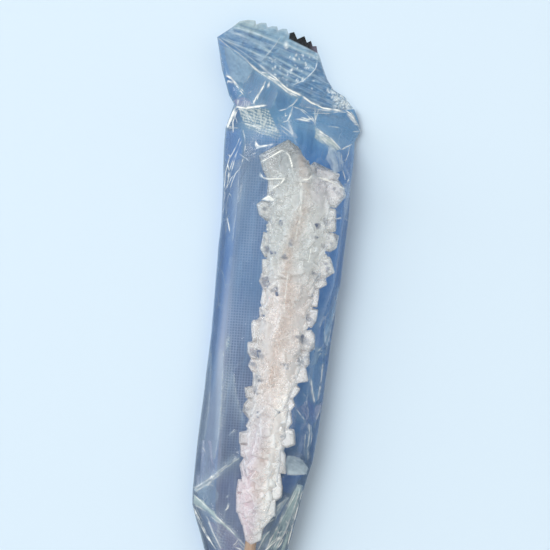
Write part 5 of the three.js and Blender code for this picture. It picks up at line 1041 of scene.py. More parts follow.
def front_film(material):
    p = body_points(ROWS, COLS)
    x, y, u, ym = p["x"], p["y"], p["u"], p["ym"]
    edge = mix(p["fold_l"], p["fold_r"], smooth(u))
    ellipse = np.sin(np.pi * u)
    z = edge + (p["high"] - edge) * mix(hill(p), ellipse, p["rounded"]) + 0.25 * ellipse ** 0.4
    net, net_line = facet_network(x, y)
    line, crease_sheen, ridge = crease_field(x, y)
    strength = np.interp(y, [-70, -58, -44, -22, 0, 40, 62, 72, 86, 100], [0.0, 0.1, 0.9, 0.75, 0.42, 0.4, 0.5, 1.0, 1.15, 0.6])
    strength = strength * (1 - 0.7 * smooth((y - 80) / 3) * (1 - smooth((x + 19) / 4)))
    strength = strength * (1 - 0.7 * np.exp(-((x + 4) / 6) ** 2 - ((y - 70) / 4) ** 2))
    rim = np.minimum(1, 5.5 * np.minimum(p["wide"], 1 - p["wide"]))
    fine = (noise2(x * 0.8, y * 0.5, 3) - 0.5) * 0.22 + (noise2(x * 2.1, y * 1.4, 4) - 0.5) * 0.09
    z = z + (net * strength * 0.85 + ridge * 0.6 + fine * (1 - p["rounded"])) * rim * (1 - p["rounded"]) + pleat(p)
    over, inside = cover(x, y, 0.8, 1)
    gap = np.clip(0.5 + 0.5 * (z - over) / 1.6, 0, 1)                # rounded meeting of film and candy
    z = np.where(inside, mix(over, z, gap) + 1.6 * gap * (1 - gap) + 0.08 * net * rim, z)
    z = np.minimum(z, 24.3)
    z[:, 0], z[:, -1] = edge[:, 0], edge[:, -1]
    band = smooth((ym - 78) / 8)
    # whitish layer over the film: a faint haze of the film itself, plus painted sheen on facets and painted highlights
    # on creases, folds and edges
    sheen_and_haze = 0.005 + 0.01 * smooth((y - 66) / 10) + 0.05 * smooth((-24 - y) / 10)
    sheen_and_haze = sheen_and_haze + 0.08 * (1 - smooth((x + 15.5) / 3)) * smooth((y - 40) / 14) * (1 - smooth((y - 70) / 3))
    facets, facet_tone = facet_veil(x, y, FACETS)
    dim = 1 - 0.85 * facet_veil(x, y, [(q, 1.0, k, 0.0) for q, _, k, _ in SHADES])[0]
    sheen_and_haze = sheen_and_haze * dim + 0.10 * dim * np.clip(net, 0, 1) ** 2 * strength + 0.04 * noise2(x * 0.35, y * 0.12, 9)
    sheen_and_haze = 1 - (1 - np.clip(sheen_and_haze, 0, 1)) * (1 - facets)
    # painted highlight along both folded edges of the bag
    rim_line = np.exp(-((x - p["xl"]) / 0.35) ** 2) * 0.22 + np.exp(-((p["xr"] - x) / 0.35) ** 2) * 0.16 * smooth((y - 50) / 12)
    sheen_and_haze = sheen_and_haze + crease_sheen * 0.9 + rim_line
    sheen_and_haze = np.maximum(sheen_and_haze, np.clip(line, 0, 1))
    sheen_and_haze = np.maximum(sheen_and_haze, 0.5 * net_line * (0.35 + strength * 0.5) + sheen_and_haze * 0.5)
    # whitish over the gathered neck, with painted highlight on the crests of the gathers
    neck = p["rounded"] * (0.16 + 0.14 * np.clip(pleat(p) * 2.2, -1, 1))
    sheen_and_haze = np.clip(sheen_and_haze + neck, 0, 0.97)
    sheen_and_haze_layer = np.empty(x.shape + (3,))
    sheen_and_haze_layer[:] = lin(184, 203, 210)
    sheen_and_haze_layer = mix(sheen_and_haze_layer, facet_tone, np.clip(facets / np.maximum(sheen_and_haze, 1e-3), 0, 1)[..., None])
    # painted highlights on the crease lines turn nearly white
    bright = np.clip((line - 0.15) / 0.4, 0, 1)[..., None]
    sheen_and_haze_layer = mix(sheen_and_haze_layer, lin(250, 252, 246), bright)
    left_strip = (1 - smooth((x - p["xl"] - 4.0) / 2.0))
    web = 0.16 + 0.75 * left_strip * smooth((y - 44) / 10) + 0.35 * smooth((y - 61) / 5) + 0.2 * left_strip
    web = web + 0.30 * smooth((x - 2.5) / 3) * smooth((26 - y) / 12) + 0.25 * smooth((-24 - y) / 8)
    web = web * (1 - 0.85 * np.exp(-((x + 6) / 6) ** 4 - ((y - 63.5) / 6) ** 4))
    web = np.clip(web * dim * (1 - 0.85 * smooth((y - 80) / 3) * (1 - smooth((x + 19) / 4))), 0, 1) * (1 - p["rounded"])
    verts = np.stack([x, y, z], axis=-1).reshape(-1, 3)
    grid = verts.reshape(ROWS, COLS, 3)
    normals = np.cross(np.gradient(grid, axis=1), np.gradient(grid, axis=0))
    normals = -normals / np.linalg.norm(normals, axis=-1, keepdims=True)
    normals = normals * np.sign(normals[..., 2:].mean())
    parts = []
    for name, a, b in (("film_front_top", 0, ROWS // 2 + 1), ("film_front_low", ROWS // 2, ROWS)):
        obj = mesh_object(name, grid[a:b].reshape(-1, 3), grid_faces(b - a, COLS, True), material,
                          floats=[("sheen_and_haze", sheen_and_haze[a:b]), ("web", web[a:b])], colors=[("sheen_and_haze_color", sheen_and_haze_layer[a:b].reshape(-1, 3))])
        obj.data.normals_split_custom_set_from_vertices(normals[a:b].reshape(-1, 3).tolist())
        parts.append(obj)
    return parts, p, z


# knurled part of the back film that shines, given painted glints
GLEAM = [(-20.0, 76.2), (-17.4, 77.1), (-13.4, 77.2), (-11.5, 77.5), (-10.0, 74.6), (-7.0, 70.4), (-8.4, 69.2), (-12.4, 70.2), (-16.9, 71.3), (-18.3, 73.4)]


def back_tone(x, y, xl, xr):
    fin = along(FIN, y)
    c = np.empty(x.shape + (3,))
    c[:] = lin(44, 116, 184)
    put = lambda c, color, amount: mix(c, lin(*color), np.clip(amount, 0, 1)[..., None])
    c = put(c, (110, 162, 198), smooth((y - 62) / 12))
    c = put(c, (44, 104, 160), smooth((x - 3) / 6) * smooth((y + 60) / 30) * (1 - 0.7 * smooth((y - 64) / 8)))
    c = put(c, (44, 90, 128), smooth((x - 3) / 6) * smooth((36 - y) / 22) * 0.75)
    c = put(c, (30, 56, 84), smooth((-4 - y) / 14) * smooth((x - 1) / 4))
    band = smooth((x - fin) / 0.7 + 0.5) * (1 - smooth((x - fin - 12.5) / 2)) * (1 - smooth((y - 64) / 5))
    c = put(c, (100, 130, 162), band * 0.9)
    c = put(c, (88, 100, 124), band * smooth((34 - y) / 34))
    c = put(c, (116, 122, 150), band * smooth((-18 - y) / 8))
    # painted highlight: soft pale stripe beside the fin's border
    stripe = np.exp(-((x - (fin - 0.7)) / 1.45) ** 2) * (0.42 + 0.58 * smooth((42 - y) / 26)) * (1 - 0.2 * smooth((8 - y) / 12)) * (1 - 0.45 * smooth((-8 - y) / 12)) * (1 - smooth((y - 60) / 6))
    c = put(c, (202, 204, 216), stripe * 0.88)
    c = put(c, (40, 106, 178), np.exp(-((x - xl - 1.4 - 1.0 * np.exp(-((y - 38) / 8) ** 2)) / 1.6) ** 2) * 0.75 * smooth((y - 2) / 20))
    c = put(c, (112, 126, 154), smooth((12 - y) / 24) * (1 - smooth((x - fin + 2) / 2)) * 0.65)
    # painted highlight: soft pale band left of the fin, lower down
    c = put(c, (158, 164, 182), smooth((8 - y) / 14) * smooth((y + 32) / 8) * np.exp(-((x - fin + 2.9) / 1.5) ** 2) * 0.6)
    c = put(c, (84, 104, 148), smooth((-28 - y) / 10) * (1 - band) * (1 - smooth((x + 6) / 6)) * 0.8)
    # painted shade along the bag's right edge, on its shadow side
    c = put(c, (10, 50, 104), np.exp(-(np.maximum(0, xr - x) / 1.1) ** 2) * 0.75 * smooth((64 - y) / 10) * smooth((y + 18.5) / 3))
    c = put(c, (40, 70, 108), np.exp(-(np.maximum(0, x - xl) / 0.8) ** 2) * 0.6 * smooth((20 - y) / 20) * smooth((y + 58) / 8))
    shade, shade_tone = facet_veil(x, y, SHADES)
    c = mix(c, shade_tone, shade[..., None])
    knurl = smooth((x - fin) / 0.6) * (1 - smooth((x - fin - 12.5) / 1.5)) * (0.25 + 0.75 * noise2(x * 0.25, y * 0.1, 21))
    knurl = knurl * (0.55 + 0.45 * smooth((y + 30) / 20)) * (1 - smooth((y - 72) / 3))
    spot = lambda cx, cy, rx, ry: np.exp(-((x - cx) / rx) ** 2 - ((y - cy) / ry) ** 2)
    # painted glints on the knurled seam, with three more spots of painted glints
    gleam = facet_veil(x, y, [(GLEAM, 0.9, (0, 0, 0), 0.0)])[0] * (0.75 + 0.7 * smooth((y - 70.5) / 3.5))
    gleam = gleam + 0.8 * spot(-13.6, 12.5, 0.6, 1.6) + 0.35 * spot(-8.4, -38.5, 2.6, 4.5) + 0.25 * spot(-12.6, -3.0, 1.0, 12.0)
    return c, np.clip(knurl, 0, 1), np.clip(gleam, 0, 1.4)


def back_sheet(material, front, front_z):
    rows, cols = ROWS, COLS
    p = front
    x, y, u, ym = p["x"], p["y"], p["u"], p["ym"]
    edge = mix(p["fold_l"], p["fold_r"], smooth(u))
    ellipse = np.sin(np.pi * u)
    flat = 1 - smooth((ym - 66) / 14)
    low_body = mix(edge, 0.5, smooth(np.minimum(1, 4.0 * ellipse)))
    low_free = edge - np.minimum(2.2, 0.35 * (p["high"] - edge)) * ellipse
    low_round = axis_z(ym) - (p["high"] - axis_z(ym)) * ellipse - pleat(p)
    ripple = (noise2(x * 0.45 + 3, y * 0.16, 12) - 0.5) * 0.5 + (noise2(x * 1.1, y * 0.5, 13) - 0.5) * 0.14
    low = mix(mix(low_free, low_body, flat), low_round, p["rounded"]) + np.abs(ripple) * ellipse * (1 - p["rounded"])
    under, inside = cover(x, y, 0.45, -1)
    low = np.where(inside, np.minimum(low, under), low)
    low = np.maximum(low, 0.32)
    z = np.minimum(low, front_z - 0.02)
    z[:, 0], z[:, -1] = front_z[:, 0], front_z[:, -1]
    pick_r = np.unique(np.concatenate([np.arange(0, rows, 2), [rows - 1]]))
    tone, knurl, gleam = back_tone(x, y, p["xl"], p["xr"])
    sub = lambda a: np.broadcast_to(a, x.shape)[pick_r]
    verts = np.stack([sub(x), sub(y), z[pick_r]], axis=-1).reshape(-1, 3)
    obj = mesh_object("film_back", verts, grid_faces(len(pick_r), cols), material,
                      floats=[("knurl", sub(knurl)), ("gleam", sub(gleam))], colors=[("tone", tone[pick_r].reshape(-1, 3))])
    return obj, z


def fin_strip(material, p, low):
    """The long seam on the back: two layers pressed together and folded flat against the film."""
    rows, cols = 330, 26
    y = np.linspace(78, -54, rows)[:, None] * np.ones((1, cols))
    k = np.linspace(0, 1, cols)[None, :] * np.ones((rows, 1))
    wide = 10.0 * np.interp(y, [-56, -44, 78], [0.25, 1, 1])
    x = along(FIN, y) + k * wide
    z = np.empty(x.shape)
    middle = p["y"].mean(axis=1)
    for i in range(rows):
        j = int(np.argmin(np.abs(middle - y[i, 0])))
        z[i] = np.min([np.interp(x[i], p["x"][n], low[n]) for n in range(max(0, j - 6), min(len(low), j + 7), 2)], axis=0) - 0.14
    bound = z.copy()
    for _ in range(6):
        z[1:-1] = (z[:-2] + z[1:-1] * 2 + z[2:]) / 4
    z = np.clip(np.minimum(z, bound) - 0.06 * np.sin(np.pi * k), 0.05, 30)
    tone, knurl, gleam = back_tone(x, y, x * 0 - 30, x * 0 + 40)
    return mesh_object("film_fin_seam", np.stack([x, y, z], axis=-1).reshape(-1, 3), grid_faces(rows, cols), material,
                       floats=[("knurl", knurl * 0 + 1), ("gleam", gleam * 0)], colors=[("tone", tone.reshape(-1, 3))])


def seal_band(material):
    """The crimped end: ribs along the cut edge, zigzag teeth, a black print mark, a folded corner."""
    rows, cols = 74, 471
    u = np.linspace(0, 1, cols)
    wide = 0.62 * u + 0.38 * (1 - np.cos(np.pi * u)) / 2
    bx = mix(BORDER[0, 0], BORDER[-1, 0], wide)
    by = np.interp(bx, BORDER[:, 0], BORDER[:, 1])
    # upper outline: left side, cut edge with teeth, then the folded right side
    upper = [(-28.05, 94.4), (-24.6, 97.4), (-22.6, 99.5)]
    teeth = [(-20.4, 100.2), (-18.4, 100.25), (-18.1, 99.25), (-16.8, 99.9), (-15.4, 100.05), (-14.9, 98.9), (-13.6, 99.45),
             (-12.4, 99.5), (-12.0, 98.5), (-10.9, 99.1), (-9.7, 99.25), (-9.1, 98.05), (-7.65, 98.7), (-6.5, 96.9),
             (-4.7, 98.0), (-3.8, 96.3), (-2.8, 97.0), (-2.1, 95.6), (-1.1, 95.8), (-0.6, 94.2)]
    right = [(0.2, 93.1), (1.3, 90.6), (3.05, 87.3), (5.2, 84.7), (8.4, 83.3), (10.1, 81.6), (11.4, 80.4)]
    upper = np.array(upper + teeth + right)
    seg = np.concatenate([[0], np.cumsum(np.hypot(*np.diff(upper, axis=0).T))])
    # spread so that the band's lines run straight up from the border
    stations = np.interp(wide, [0, 0.10, 0.62, 0.78, 1], [0, seg[2], seg[-8], seg[-5], seg[-1]])
    tx, ty = np.interp(stations, seg, upper[:, 0]), np.interp(stations, seg, upper[:, 1])
    v = np.linspace(0, 1, rows)[:, None]
    x, y = mix(bx[None, :], tx[None, :], v), mix(by[None, :], ty[None, :], v)
    along_cut = (CUT_RIGHT - CUT_LEFT) / np.linalg.norm(CUT_RIGHT - CUT_LEFT)
    normal = np.array((-along_cut[1], along_cut[0]))
    depth = -((x - CUT_LEFT[0]) * normal[0] + (y - CUT_LEFT[1]) * normal[1])      # below the cut edge
    # lower right: the layer folded over there has its ribs at a steeper slope
    fold = np.array([(-6.1, 83.4), (-2.46, 86.55), (-0.71, 89.63), (0.3, 92.2)])
    fold_x = np.interp(y, fold[:, 1], fold[:, 0], left=-30, right=99)
    folded = smooth((x - fold_x) / 0.5 + 0.5) * (y < 91.5)
    steep = np.array((-math.sin(math.radians(-24)), math.cos(math.radians(-24))))
    depth2 = -((x + 4) * steep[0] + (y - 84) * steep[1])
    drift = 0.9 * noise2(x * 0.16, y * 0.16, 38) + 0.35 * noise2(x * 0.6, y * 0.6, 39)
    rib1, rib2 = np.sin(2 * np.pi * depth / 1.62 + 0.6 + drift * 2), np.sin(2 * np.pi * depth2 / 1.3 + drift * 2)
    drawn = soft_lines(x, y, RIBS) - soft_lines(x, y, GROOVES)
    fine_rib = mix(rib1, rib2, folded)
    rib = np.clip(1.5 * drawn + 0.28 * fine_rib, -1, 1)
    edge = mix(4.4, 1.9, smooth(u))[None, :]
    inner = smooth(6 * v) * smooth(8 * (1 - v) + 0.3) * smooth(12 * wide[None, :]) * smooth(10 * (1 - wide[None, :]))
    crumple = (noise2(x * 0.6, y * 0.6, 41) - 0.5) * 1.3 + (noise2(x * 1.7, y * 1.7, 42) - 0.5) * 0.5
    silver = smooth((x - 4.6) / 2.0) * smooth((y - 79) / 1.5) * smooth((depth - 7.5) / 3)
    wave = smooth(4 * v) * (0.8 * np.sin(np.pi * (wide[None, :] * 1.15 + 0.1)) - 0.8 * v * (1 - wide[None, :]))
    z = edge + 0.2 * smooth(5 * v) + wave + (0.26 * rib + 0.45 * crumple) * inner + silver * inner * 0.9 * (noise2(x * 2.6, y * 2.6, 43) - 0.4)
    z = z + 0.35 * folded * inner
    z[0, :] = edge[0]
    line, crease_sheen, ridge = crease_field(x, y)
    z = z + ridge * 0.7 * inner
    tone = np.empty(x.shape + (3,))
    tone[:] = lin(70, 118, 158)
    put = lambda c, color, amount: mix(c, lin(*color), np.clip(amount, 0, 1)[..., None])
    tone = put(tone, (116, 154, 178), smooth((2.6 - depth) / 1.6) * 0.9)
    tone = put(tone, (142, 168, 174), smooth((2.8 - depth) / 1.6) * smooth((-15 - x) / 4))
    # painted highlight on the raised ribs and painted shade in the grooves between them
    tone = put(tone, (150, 180, 196), np.clip(rib, 0, 1) * 0.8 * inner)
    tone = put(tone, (38, 88, 138), np.clip(-rib, 0, 1) * 0.92 * inner)
    tone = put(tone, (24, 98, 148), folded * 0.9)
    # painted highlight on the ribs of the folded layer
    tone = put(tone, (104, 150, 190), folded * np.clip(rib, 0, 1) * 0.5)
    # painted sheen over the crushed film at the right
    tone = put(tone, (150, 170, 184), silver * 0.7)
    tone = put(tone, (74, 118, 166), smooth((-16 - x) / 6) * smooth((depth - 1.5) / 2) * 0.5)
    # painted glints and highlights: small bright specks where the crushed film catches the light, bright streaks on the
    # ribs, the crease lines and a bright line along the cut edge
    white = np.zeros(x.shape)
    spots = []
    for _ in range(46):
        spots.append((rng.uniform(-12.5, -0.5), rng.uniform(84.0, 94.0), rng.uniform(0.14, 0.24), rng.uniform(0.35, 0.9)))
    for _ in range(85):
        k = rng.uniform(0, 1)
        spots.append((mix(4.0, 12.0, k) + rng.normal(0, 0.8), mix(84.6, 79.6, k) + rng.normal(0, 0.7), rng.uniform(0.14, 0.28), rng.uniform(0.5, 0.95)))
    spots += [(-9.3, 94.9, 0.52, 0.85), (-9.0, 94.2, 0.3, 0.7), (-6.6, 91.4, 0.3, 0.9), (-6.9, 88.4, 0.32, 0.95), (-6.2, 92.6, 0.26, 0.8)]
    for sx, sy, r, s in spots:
        k = noise2(np.array([sx * 7.0]), np.array([sy * 5.0]), 50)[0] * math.pi
        dx, dy = x - sx, y - sy
        a, b = dx * math.cos(k) + dy * math.sin(k), -dx * math.sin(k) + dy * math.cos(k)
        white = np.maximum(white, s * np.exp(-(a / (r * 1.7)) ** 2 - (b / r) ** 2))
    white = np.maximum(white, 0.85 * line)
    across, lengthwise = depth, x * along_cut[0] + y * along_cut[1]
    streaks = noise2(lengthwise * 0.22, across * 2.4, 44) * 0.6 + noise2(lengthwise * 0.5, across * 5.0, 48) * 0.4
    white = np.maximum(white, 0.42 * np.clip(rib, 0, 1) ** 1.8 * inner * np.clip(streaks * 2.4 - 0.6, 0, 1) * (1 - 0.85 * folded))
    white = np.maximum(white, 0.22 * inner * np.clip(streaks * 2.4 - 1.25, 0, 1))
    white = np.maximum(white, silver * 0.55 * np.clip(noise2(x * 2.2, y * 2.2, 45) * 2 - 0.8, 0, 1))
    cut = np.exp(-((1 - v) * 6 / 0.35) ** 2) * 0.25
    white = np.clip(np.maximum(white, cut * np.ones(x.shape)) + crease_sheen * 0.5, 0, 0.97)
    # black print mark on the last teeth
    low_line = np.interp(x, [-9.0, -0.4], [96.75, 93.9])
    ink = smooth((y - low_line) / 0.25 + 0.5) * smooth((x + 8.75) / 0.2 + 0.5)
    ink = ink * (x < 0.2)
    ink_color = mix(lin(14, 15, 17), lin(120, 116, 138), (smooth((x + 3.4) / 2.6) * (0.45 + 0.5 * noise2(x * 2.5, y * 2.5, 46)))[..., None])
    ink_color = mix(ink_color, lin(66, 60, 66), (np.clip(noise2(x * 2.2, y * 2.2, 47) * 2 - 1.1, 0, 1) * 0.5)[..., None])
    return mesh_object("film_seal", np.stack([x, y, z], axis=-1).reshape(-1, 3), grid_faces(rows, cols), material,
                       floats=[("white", white), ("ink", ink)], colors=[("tone", tone.reshape(-1, 3)), ("ink_color", ink_color.reshape(-1, 3))])


# ------------------------------------------------------------------ sugar crystals
def block_mesh(bm_rings, bevel, matrix=None):
    """Closed block through equal rings of points, with its edges rounded off a little."""
    bm = bmesh.new()
    rings = [[bm.verts.new(p) for p in ring] for ring in bm_rings]
    n = len(rings[0])
    for a, b in zip(rings[:-1], rings[1:]):
        for j in range(n):
            bm.faces.new((a[j], a[(j + 1) % n], b[(j + 1) % n], b[j]))
    bm.faces.new(list(reversed(rings[0])))
    bm.faces.new(rings[-1])
    if matrix is not None:
        bm.transform(matrix)
    if bevel > 0:
        bmesh.ops.bevel(bm, geom=list(bm.edges), offset=bevel, segments=1, profile=0.5, affect="EDGES", clamp_overlap=True)
    bmesh.ops.triangulate(bm, faces=list(bm.faces))
    bmesh.ops.recalc_face_normals(bm, faces=list(bm.faces))
    return bm


def outline_block(points, lift, thick):
    pts = np.array(points)
    if 0.5 * np.sum(pts[:, 0] * np.roll(pts[:, 1], -1) - np.roll(pts[:, 0], -1) * pts[:, 1]) < 0:
        pts = pts[::-1]
    c = pts.mean(axis=0)
    z = axis_z(c[1]) + lift
    slant = rng.uniform(-0.16, 0.16, 2)
    rings = []
    for level, scale in ((-0.5, 0.80), (-0.26, 1.0), (0.16, 1.0), (0.5, rng.uniform(0.66, 0.9))):
        ring = []
        for q in pts:
            xy = c + (q - c) * scale
            height = z + thick * level + (slant @ (xy - c) if abs(level) == 0.5 else 0)
            ring.append((xy[0], xy[1], height))
        rings.append(ring)
    return block_mesh(rings, rng.uniform(0.14, 0.26))


def free_block(size, center, turn, bevel=None):
    """A monoclinic sugar block: a skewed box with one corner cut."""
    a, b, h = size
    k = rng.uniform(0.2, 0.42) * min(a, b)
    shape = [(-a, -b), (a, -b), (a, b - k), (a - k * rng.uniform(0.7, 1.3), b), (-a, b)]
    if rng.random() < 0.4:
        shape = shape[1:] + [(-a, -b + k)] if False else shape
    skew = rng.uniform(-0.2, 0.2, 2)
    rings = []
    for level, scale in ((-1.0, rng.uniform(0.72, 0.95)), (-0.6, 1.0), (0.6, 1.0), (1.0, rng.uniform(0.7, 0.95))):
        rings.append([(q[0] * scale + skew[0] * level * h, q[1] * scale + skew[1] * level * h, level * h) for q in shape])
    matrix = Matrix.Translation(center) @ Euler(turn).to_matrix().to_4x4()
    return block_mesh(rings, bevel if bevel is not None else 0.07 * min(a, b, h) + 0.06, matrix)


def fit_inside(bm, slack, inner=True):
    """Moves a block towards the stick until it is inside the candy's space."""
    for _ in range(5):
        p = np.array([v.co for v in bm.verts])
        middle, half, up, down = candy_space(p[:, 1])
        if inner:
            middle, half = candy_space(p[:, 1], True)[:2]
        dx, dz = p[:, 0] - middle, p[:, 2] - axis_z(p[:, 1])
        tall = np.where(dz > 0, up, down)
        ratio = (np.abs(dx / half) ** BOXY + np.abs(dz / tall) ** BOXY) ** (1 / BOXY)
        reach = np.hypot(dx, dz)
        over = (1 - 1 / np.maximum(ratio, 1e-6)) * reach - slack
        k = int(np.argmax(over))
        move = [0.0, 0.0, 0.0]
        if over[k] > 0:
            move[0], move[2] = -over[k] * dx[k] / reach[k], -over[k] * dz[k] / reach[k]
        top = 64.5 if inner else CANDY_HIGH_Y
        move[1] = min(0, top - p[:, 1].max()) + max(0, CANDY_LOW_Y - p[:, 1].min())
        if max(abs(m) for m in move) < 1e-4:
            break
        bmesh.ops.translate(bm, verts=list(bm.verts), vec=move)
    return bm


def ring_loft(rings):
    return block_mesh(rings, 0)


def envelope_mesh(grow):
    rings = []
    for y in np.linspace(CANDY_LOW_Y - 1.2, CANDY_HIGH_Y + 0.5, 44):
        middle, half, up, down = (float(v) for v in candy_space(np.array(y)))
        ring = []
        for a in np.linspace(0, 2 * math.pi, 40, endpoint=False):
            c, s = math.cos(a), math.sin(a)
            k = (abs(c) ** BOXY + abs(s) ** BOXY) ** (-1 / BOXY)
            ring.append((middle + (half + grow) * c * k, y, axis_z(y) + ((up if s > 0 else down) + grow) * s * k))
        rings.append(ring)
    return ring_loft(rings)


def temp_object(bm, name):
    me = bpy.data.meshes.new(name)
    bm.to_mesh(me)
    bm.free()
    obj = bpy.data.objects.new(name, me)
    bpy.context.scene.collection.objects.link(obj)
    return obj


def boolean(obj, other, operation):
    mod = obj.modifiers.new("join", "BOOLEAN")
    mod.operation, mod.solver = operation, "MANIFOLD"
    mod.object = other
    graph = bpy.context.evaluated_depsgraph_get()
    me = bpy.data.meshes.new_from_object(obj.evaluated_get(graph))
    obj.modifiers.clear()
    old = obj.data
    obj.data = me
    bpy.data.meshes.remove(old)
    bpy.data.objects.remove(other)


def join_all(meshes):
    """Unites closed blocks pairwise, so that each step stays small."""
    objects = [temp_object(bm, "block") for bm in meshes]
    while len(objects) > 1:
        rest = []
        for a, b in zip(objects[::2], objects[1::2]):
            boolean(a, b, "UNION")
            rest.append(a)
        if len(objects) % 2:
            rest.append(objects[-1])
        objects = rest
    return objects[0]


def loft_through(share, low, high):
    rings = []
    for y in np.linspace(CANDY_LOW_Y + low, CANDY_HIGH_Y - high, 12):
        middle, half, up, down = (float(v) for v in candy_space(np.array(y)))
        r = max(share / 0.7 * 2.6, share * half)
        rings.append([(0.6 * middle + r * math.cos(a), y,
                       axis_z(y) + (min(r, share * up) if math.sin(a) > 0 else min(r, 0.8 / 0.7 * share * down)) * math.sin(a))
                      for a in np.linspace(0, 2 * math.pi, 18, endpoint=False)])
    return ring_loft(rings)


def shrunk(bm, across, tall):
    out = bm.copy()
    c = sum((v.co for v in out.verts), Vector()) / len(out.verts)
    for v in out.verts:
        d = v.co - c
        v.co = c + Vector((d.x * across, d.y * across, d.z * tall))
    return out


def bored(obj, extra):
    bore = []
    for y in (CANDY_LOW_Y - 12.0, STICK_TOP_Y + 0.06 + extra):
        bore.append([((STICK_RADIUS + extra) * math.cos(a), y, axis_z(y) + (STICK_RADIUS + extra) * math.sin(a))
                     for a in np.linspace(0, 2 * math.pi, 40, endpoint=False)])
    boolean(obj, temp_object(ring_loft(bore), "bore"), "DIFFERENCE")


def one_body(obj, name):
    """Keeps the one big body: closed pockets and loose chips are dropped."""
    bm = bmesh.new()
    bm.from_mesh(obj.data)
    bm.verts.ensure_lookup_table()
    seen, groups = set(), []
    for v in bm.verts:
        if v.index in seen:
            continue
        stack, group = [v], []
        seen.add(v.index)
        while stack:
            w = stack.pop()
            group.append(w)
            for e in w.link_edges:
                o = e.other_vert(w)
                if o.index not in seen:
                    seen.add(o.index)
                    stack.append(o)
        groups.append(group)
    groups.sort(key=len, reverse=True)
    for group in groups[1:]:
        bmesh.ops.delete(bm, geom=group, context="VERTS")
    bmesh.ops.dissolve_limit(bm, angle_limit=math.radians(1.5), verts=list(bm.verts), edges=list(bm.edges))
    bmesh.ops.remove_doubles(bm, verts=list(bm.verts), dist=0.004)
    bmesh.ops.triangulate(bm, faces=[f for f in bm.faces if len(f.verts) > 4])
    me = bpy.data.meshes.new(name)
    bm.to_mesh(me)
    bm.free()
    old = obj.data
    obj.data = me
    bpy.data.meshes.remove(old)
    obj.name = name
    return obj


def candy_blocks():
    """Blocks of the cluster, each with how much of it is cloudy (0 = none)."""
    blocks = [(outline_block(*b), 0.80, 0.74) for b in BLOCKS]
    # broad blocks on the upper side, lying nearly flat
    y = CANDY_LOW_Y + 4.0
    while y < 61.0:
        up = float(candy_space(np.array(y))[2])
        middle, half = (float(v) for v in candy_space(np.array(y), True)[:2])
        size = 1.35 + 1.5 * min(1.0, half / 10.0)
        count = max(2, int(round(2 * half / (size * 1.7))))
        for k in range(count):
            f = ((k + 0.5 + rng.uniform(-0.3, 0.3)) / count * 2 - 1) * 0.86
            a, b, h = size * rng.uniform(0.8, 1.25), size * rng.uniform(0.7, 1.05), size * rng.uniform(0.6, 0.9)
            tall = (1 - abs(f) ** BOXY) ** (1 / BOXY)
            c = (middle + half * f, y + rng.uniform(-1.2, 1.2), axis_z(y) + up * tall - h * rng.uniform(0.85, 1.5))
            turn = (rng.uniform(-0.28, 0.28), rng.uniform(-0.2, 0.2) + 0.45 * f * abs(f), rng.uniform(-1.5, 1.5))
            blocks.append((fit_inside(free_block((a, b, h), c, turn), 0.1), 0.84, 0.8))
        y += size * 1.3
    # blocks round the sides and underneath
    y = CANDY_LOW_Y + 3.0
    while y < 62.0:
        down = float(candy_space(np.array(y))[3])
        middle, half = (float(v) for v in candy_space(np.array(y), True)[:2])
        size = 1.35 + 1.6 * min(1.0, half / 10.0)
        count = max(4, int(round(math.pi * half * 0.9 / (size * 1.5))))
        for k in range(count):
            a = math.pi + 0.35 + (math.pi - 0.7) * (k + 0.5 + rng.uniform(-0.35, 0.35)) / count
            s = size * rng.uniform(0.75, 1.15)
            reach = 1 - s * rng.uniform(0.5, 0.9) / half
            c = (middle + half * math.cos(a) * reach, y + rng.uniform(-1.4, 1.4), axis_z(y) + down * math.sin(a) * reach)
            turn = (rng.uniform(-0.5, 0.5), rng.uniform(-0.5, 0.5) - 0.5 * math.cos(a), rng.uniform(-1.5, 1.5))
            bm = free_block((s, s * rng.uniform(0.7, 1.0), s * rng.uniform(0.7, 1.0)), c, turn)
            blocks.append((fit_inside(bm, 0.1), 0.78, 0.78))
        y += size * 1.3
    for _ in range(240):                         # small crystals in the gaps
        y = rng.uniform(CANDY_LOW_Y + 2, 60)
        middle, half, up, down = (float(v) for v in candy_space(np.array(y)))
        middle, half = (float(v) for v in candy_space(np.array(y), True)[:2])
        a, s = rng.uniform(0, 2 * math.pi), rng.uniform(0.55, 1.1)
        reach = 1 - s * rng.uniform(0.3, 1.2) / half
        c = (middle + half * math.cos(a) * reach, y, axis_z(y) + (up if math.sin(a) > 0 else down) * math.sin(a) * reach)
        bm = free_block((s, s * rng.uniform(0.7, 1.0), s * rng.uniform(0.7, 1.0)), c, tuple(rng.uniform(-1.5, 1.5, 3)))
        blocks.append((fit_inside(bm, 0.1), 0, 0))
    return blocks


def heart_loft(grow):
    rings = []
    for y in np.linspace(CANDY_LOW_Y + 2.0, 68.0, 64):
        middle, half = (float(v) for v in candy_space(np.array(y), True)[:2])
        up, down = (float(v) for v in candy_space(np.array(y))[2:])
        ring = []
        for a in np.linspace(0, 2 * math.pi, 40, endpoint=False):
            c, s = math.cos(a), math.sin(a)
            k = (abs(c) ** BOXY + abs(s) ** BOXY) ** (-1 / BOXY)
            ring.append((middle + max(1.9, half + grow) * c * k, y,
                         axis_z(y) + max(1.9, (up if s > 0 else down) + grow) * s * k))
        rings.append(ring)
    return ring_loft(rings)


def even_mesh(obj, size):
    mod = obj.modifiers.new("even", "REMESH")
    mod.mode, mod.voxel_size, mod.adaptivity = "VOXEL", size, 0
    mod = obj.modifiers.new("soft", "SMOOTH")
    mod.factor, mod.iterations = 0.5, 2
    graph = bpy.context.evaluated_depsgraph_get()
    me = bpy.data.meshes.new_from_object(obj.evaluated_get(graph))
    obj.modifiers.clear()
    old = obj.data
    obj.data = me
    bpy.data.meshes.remove(old)


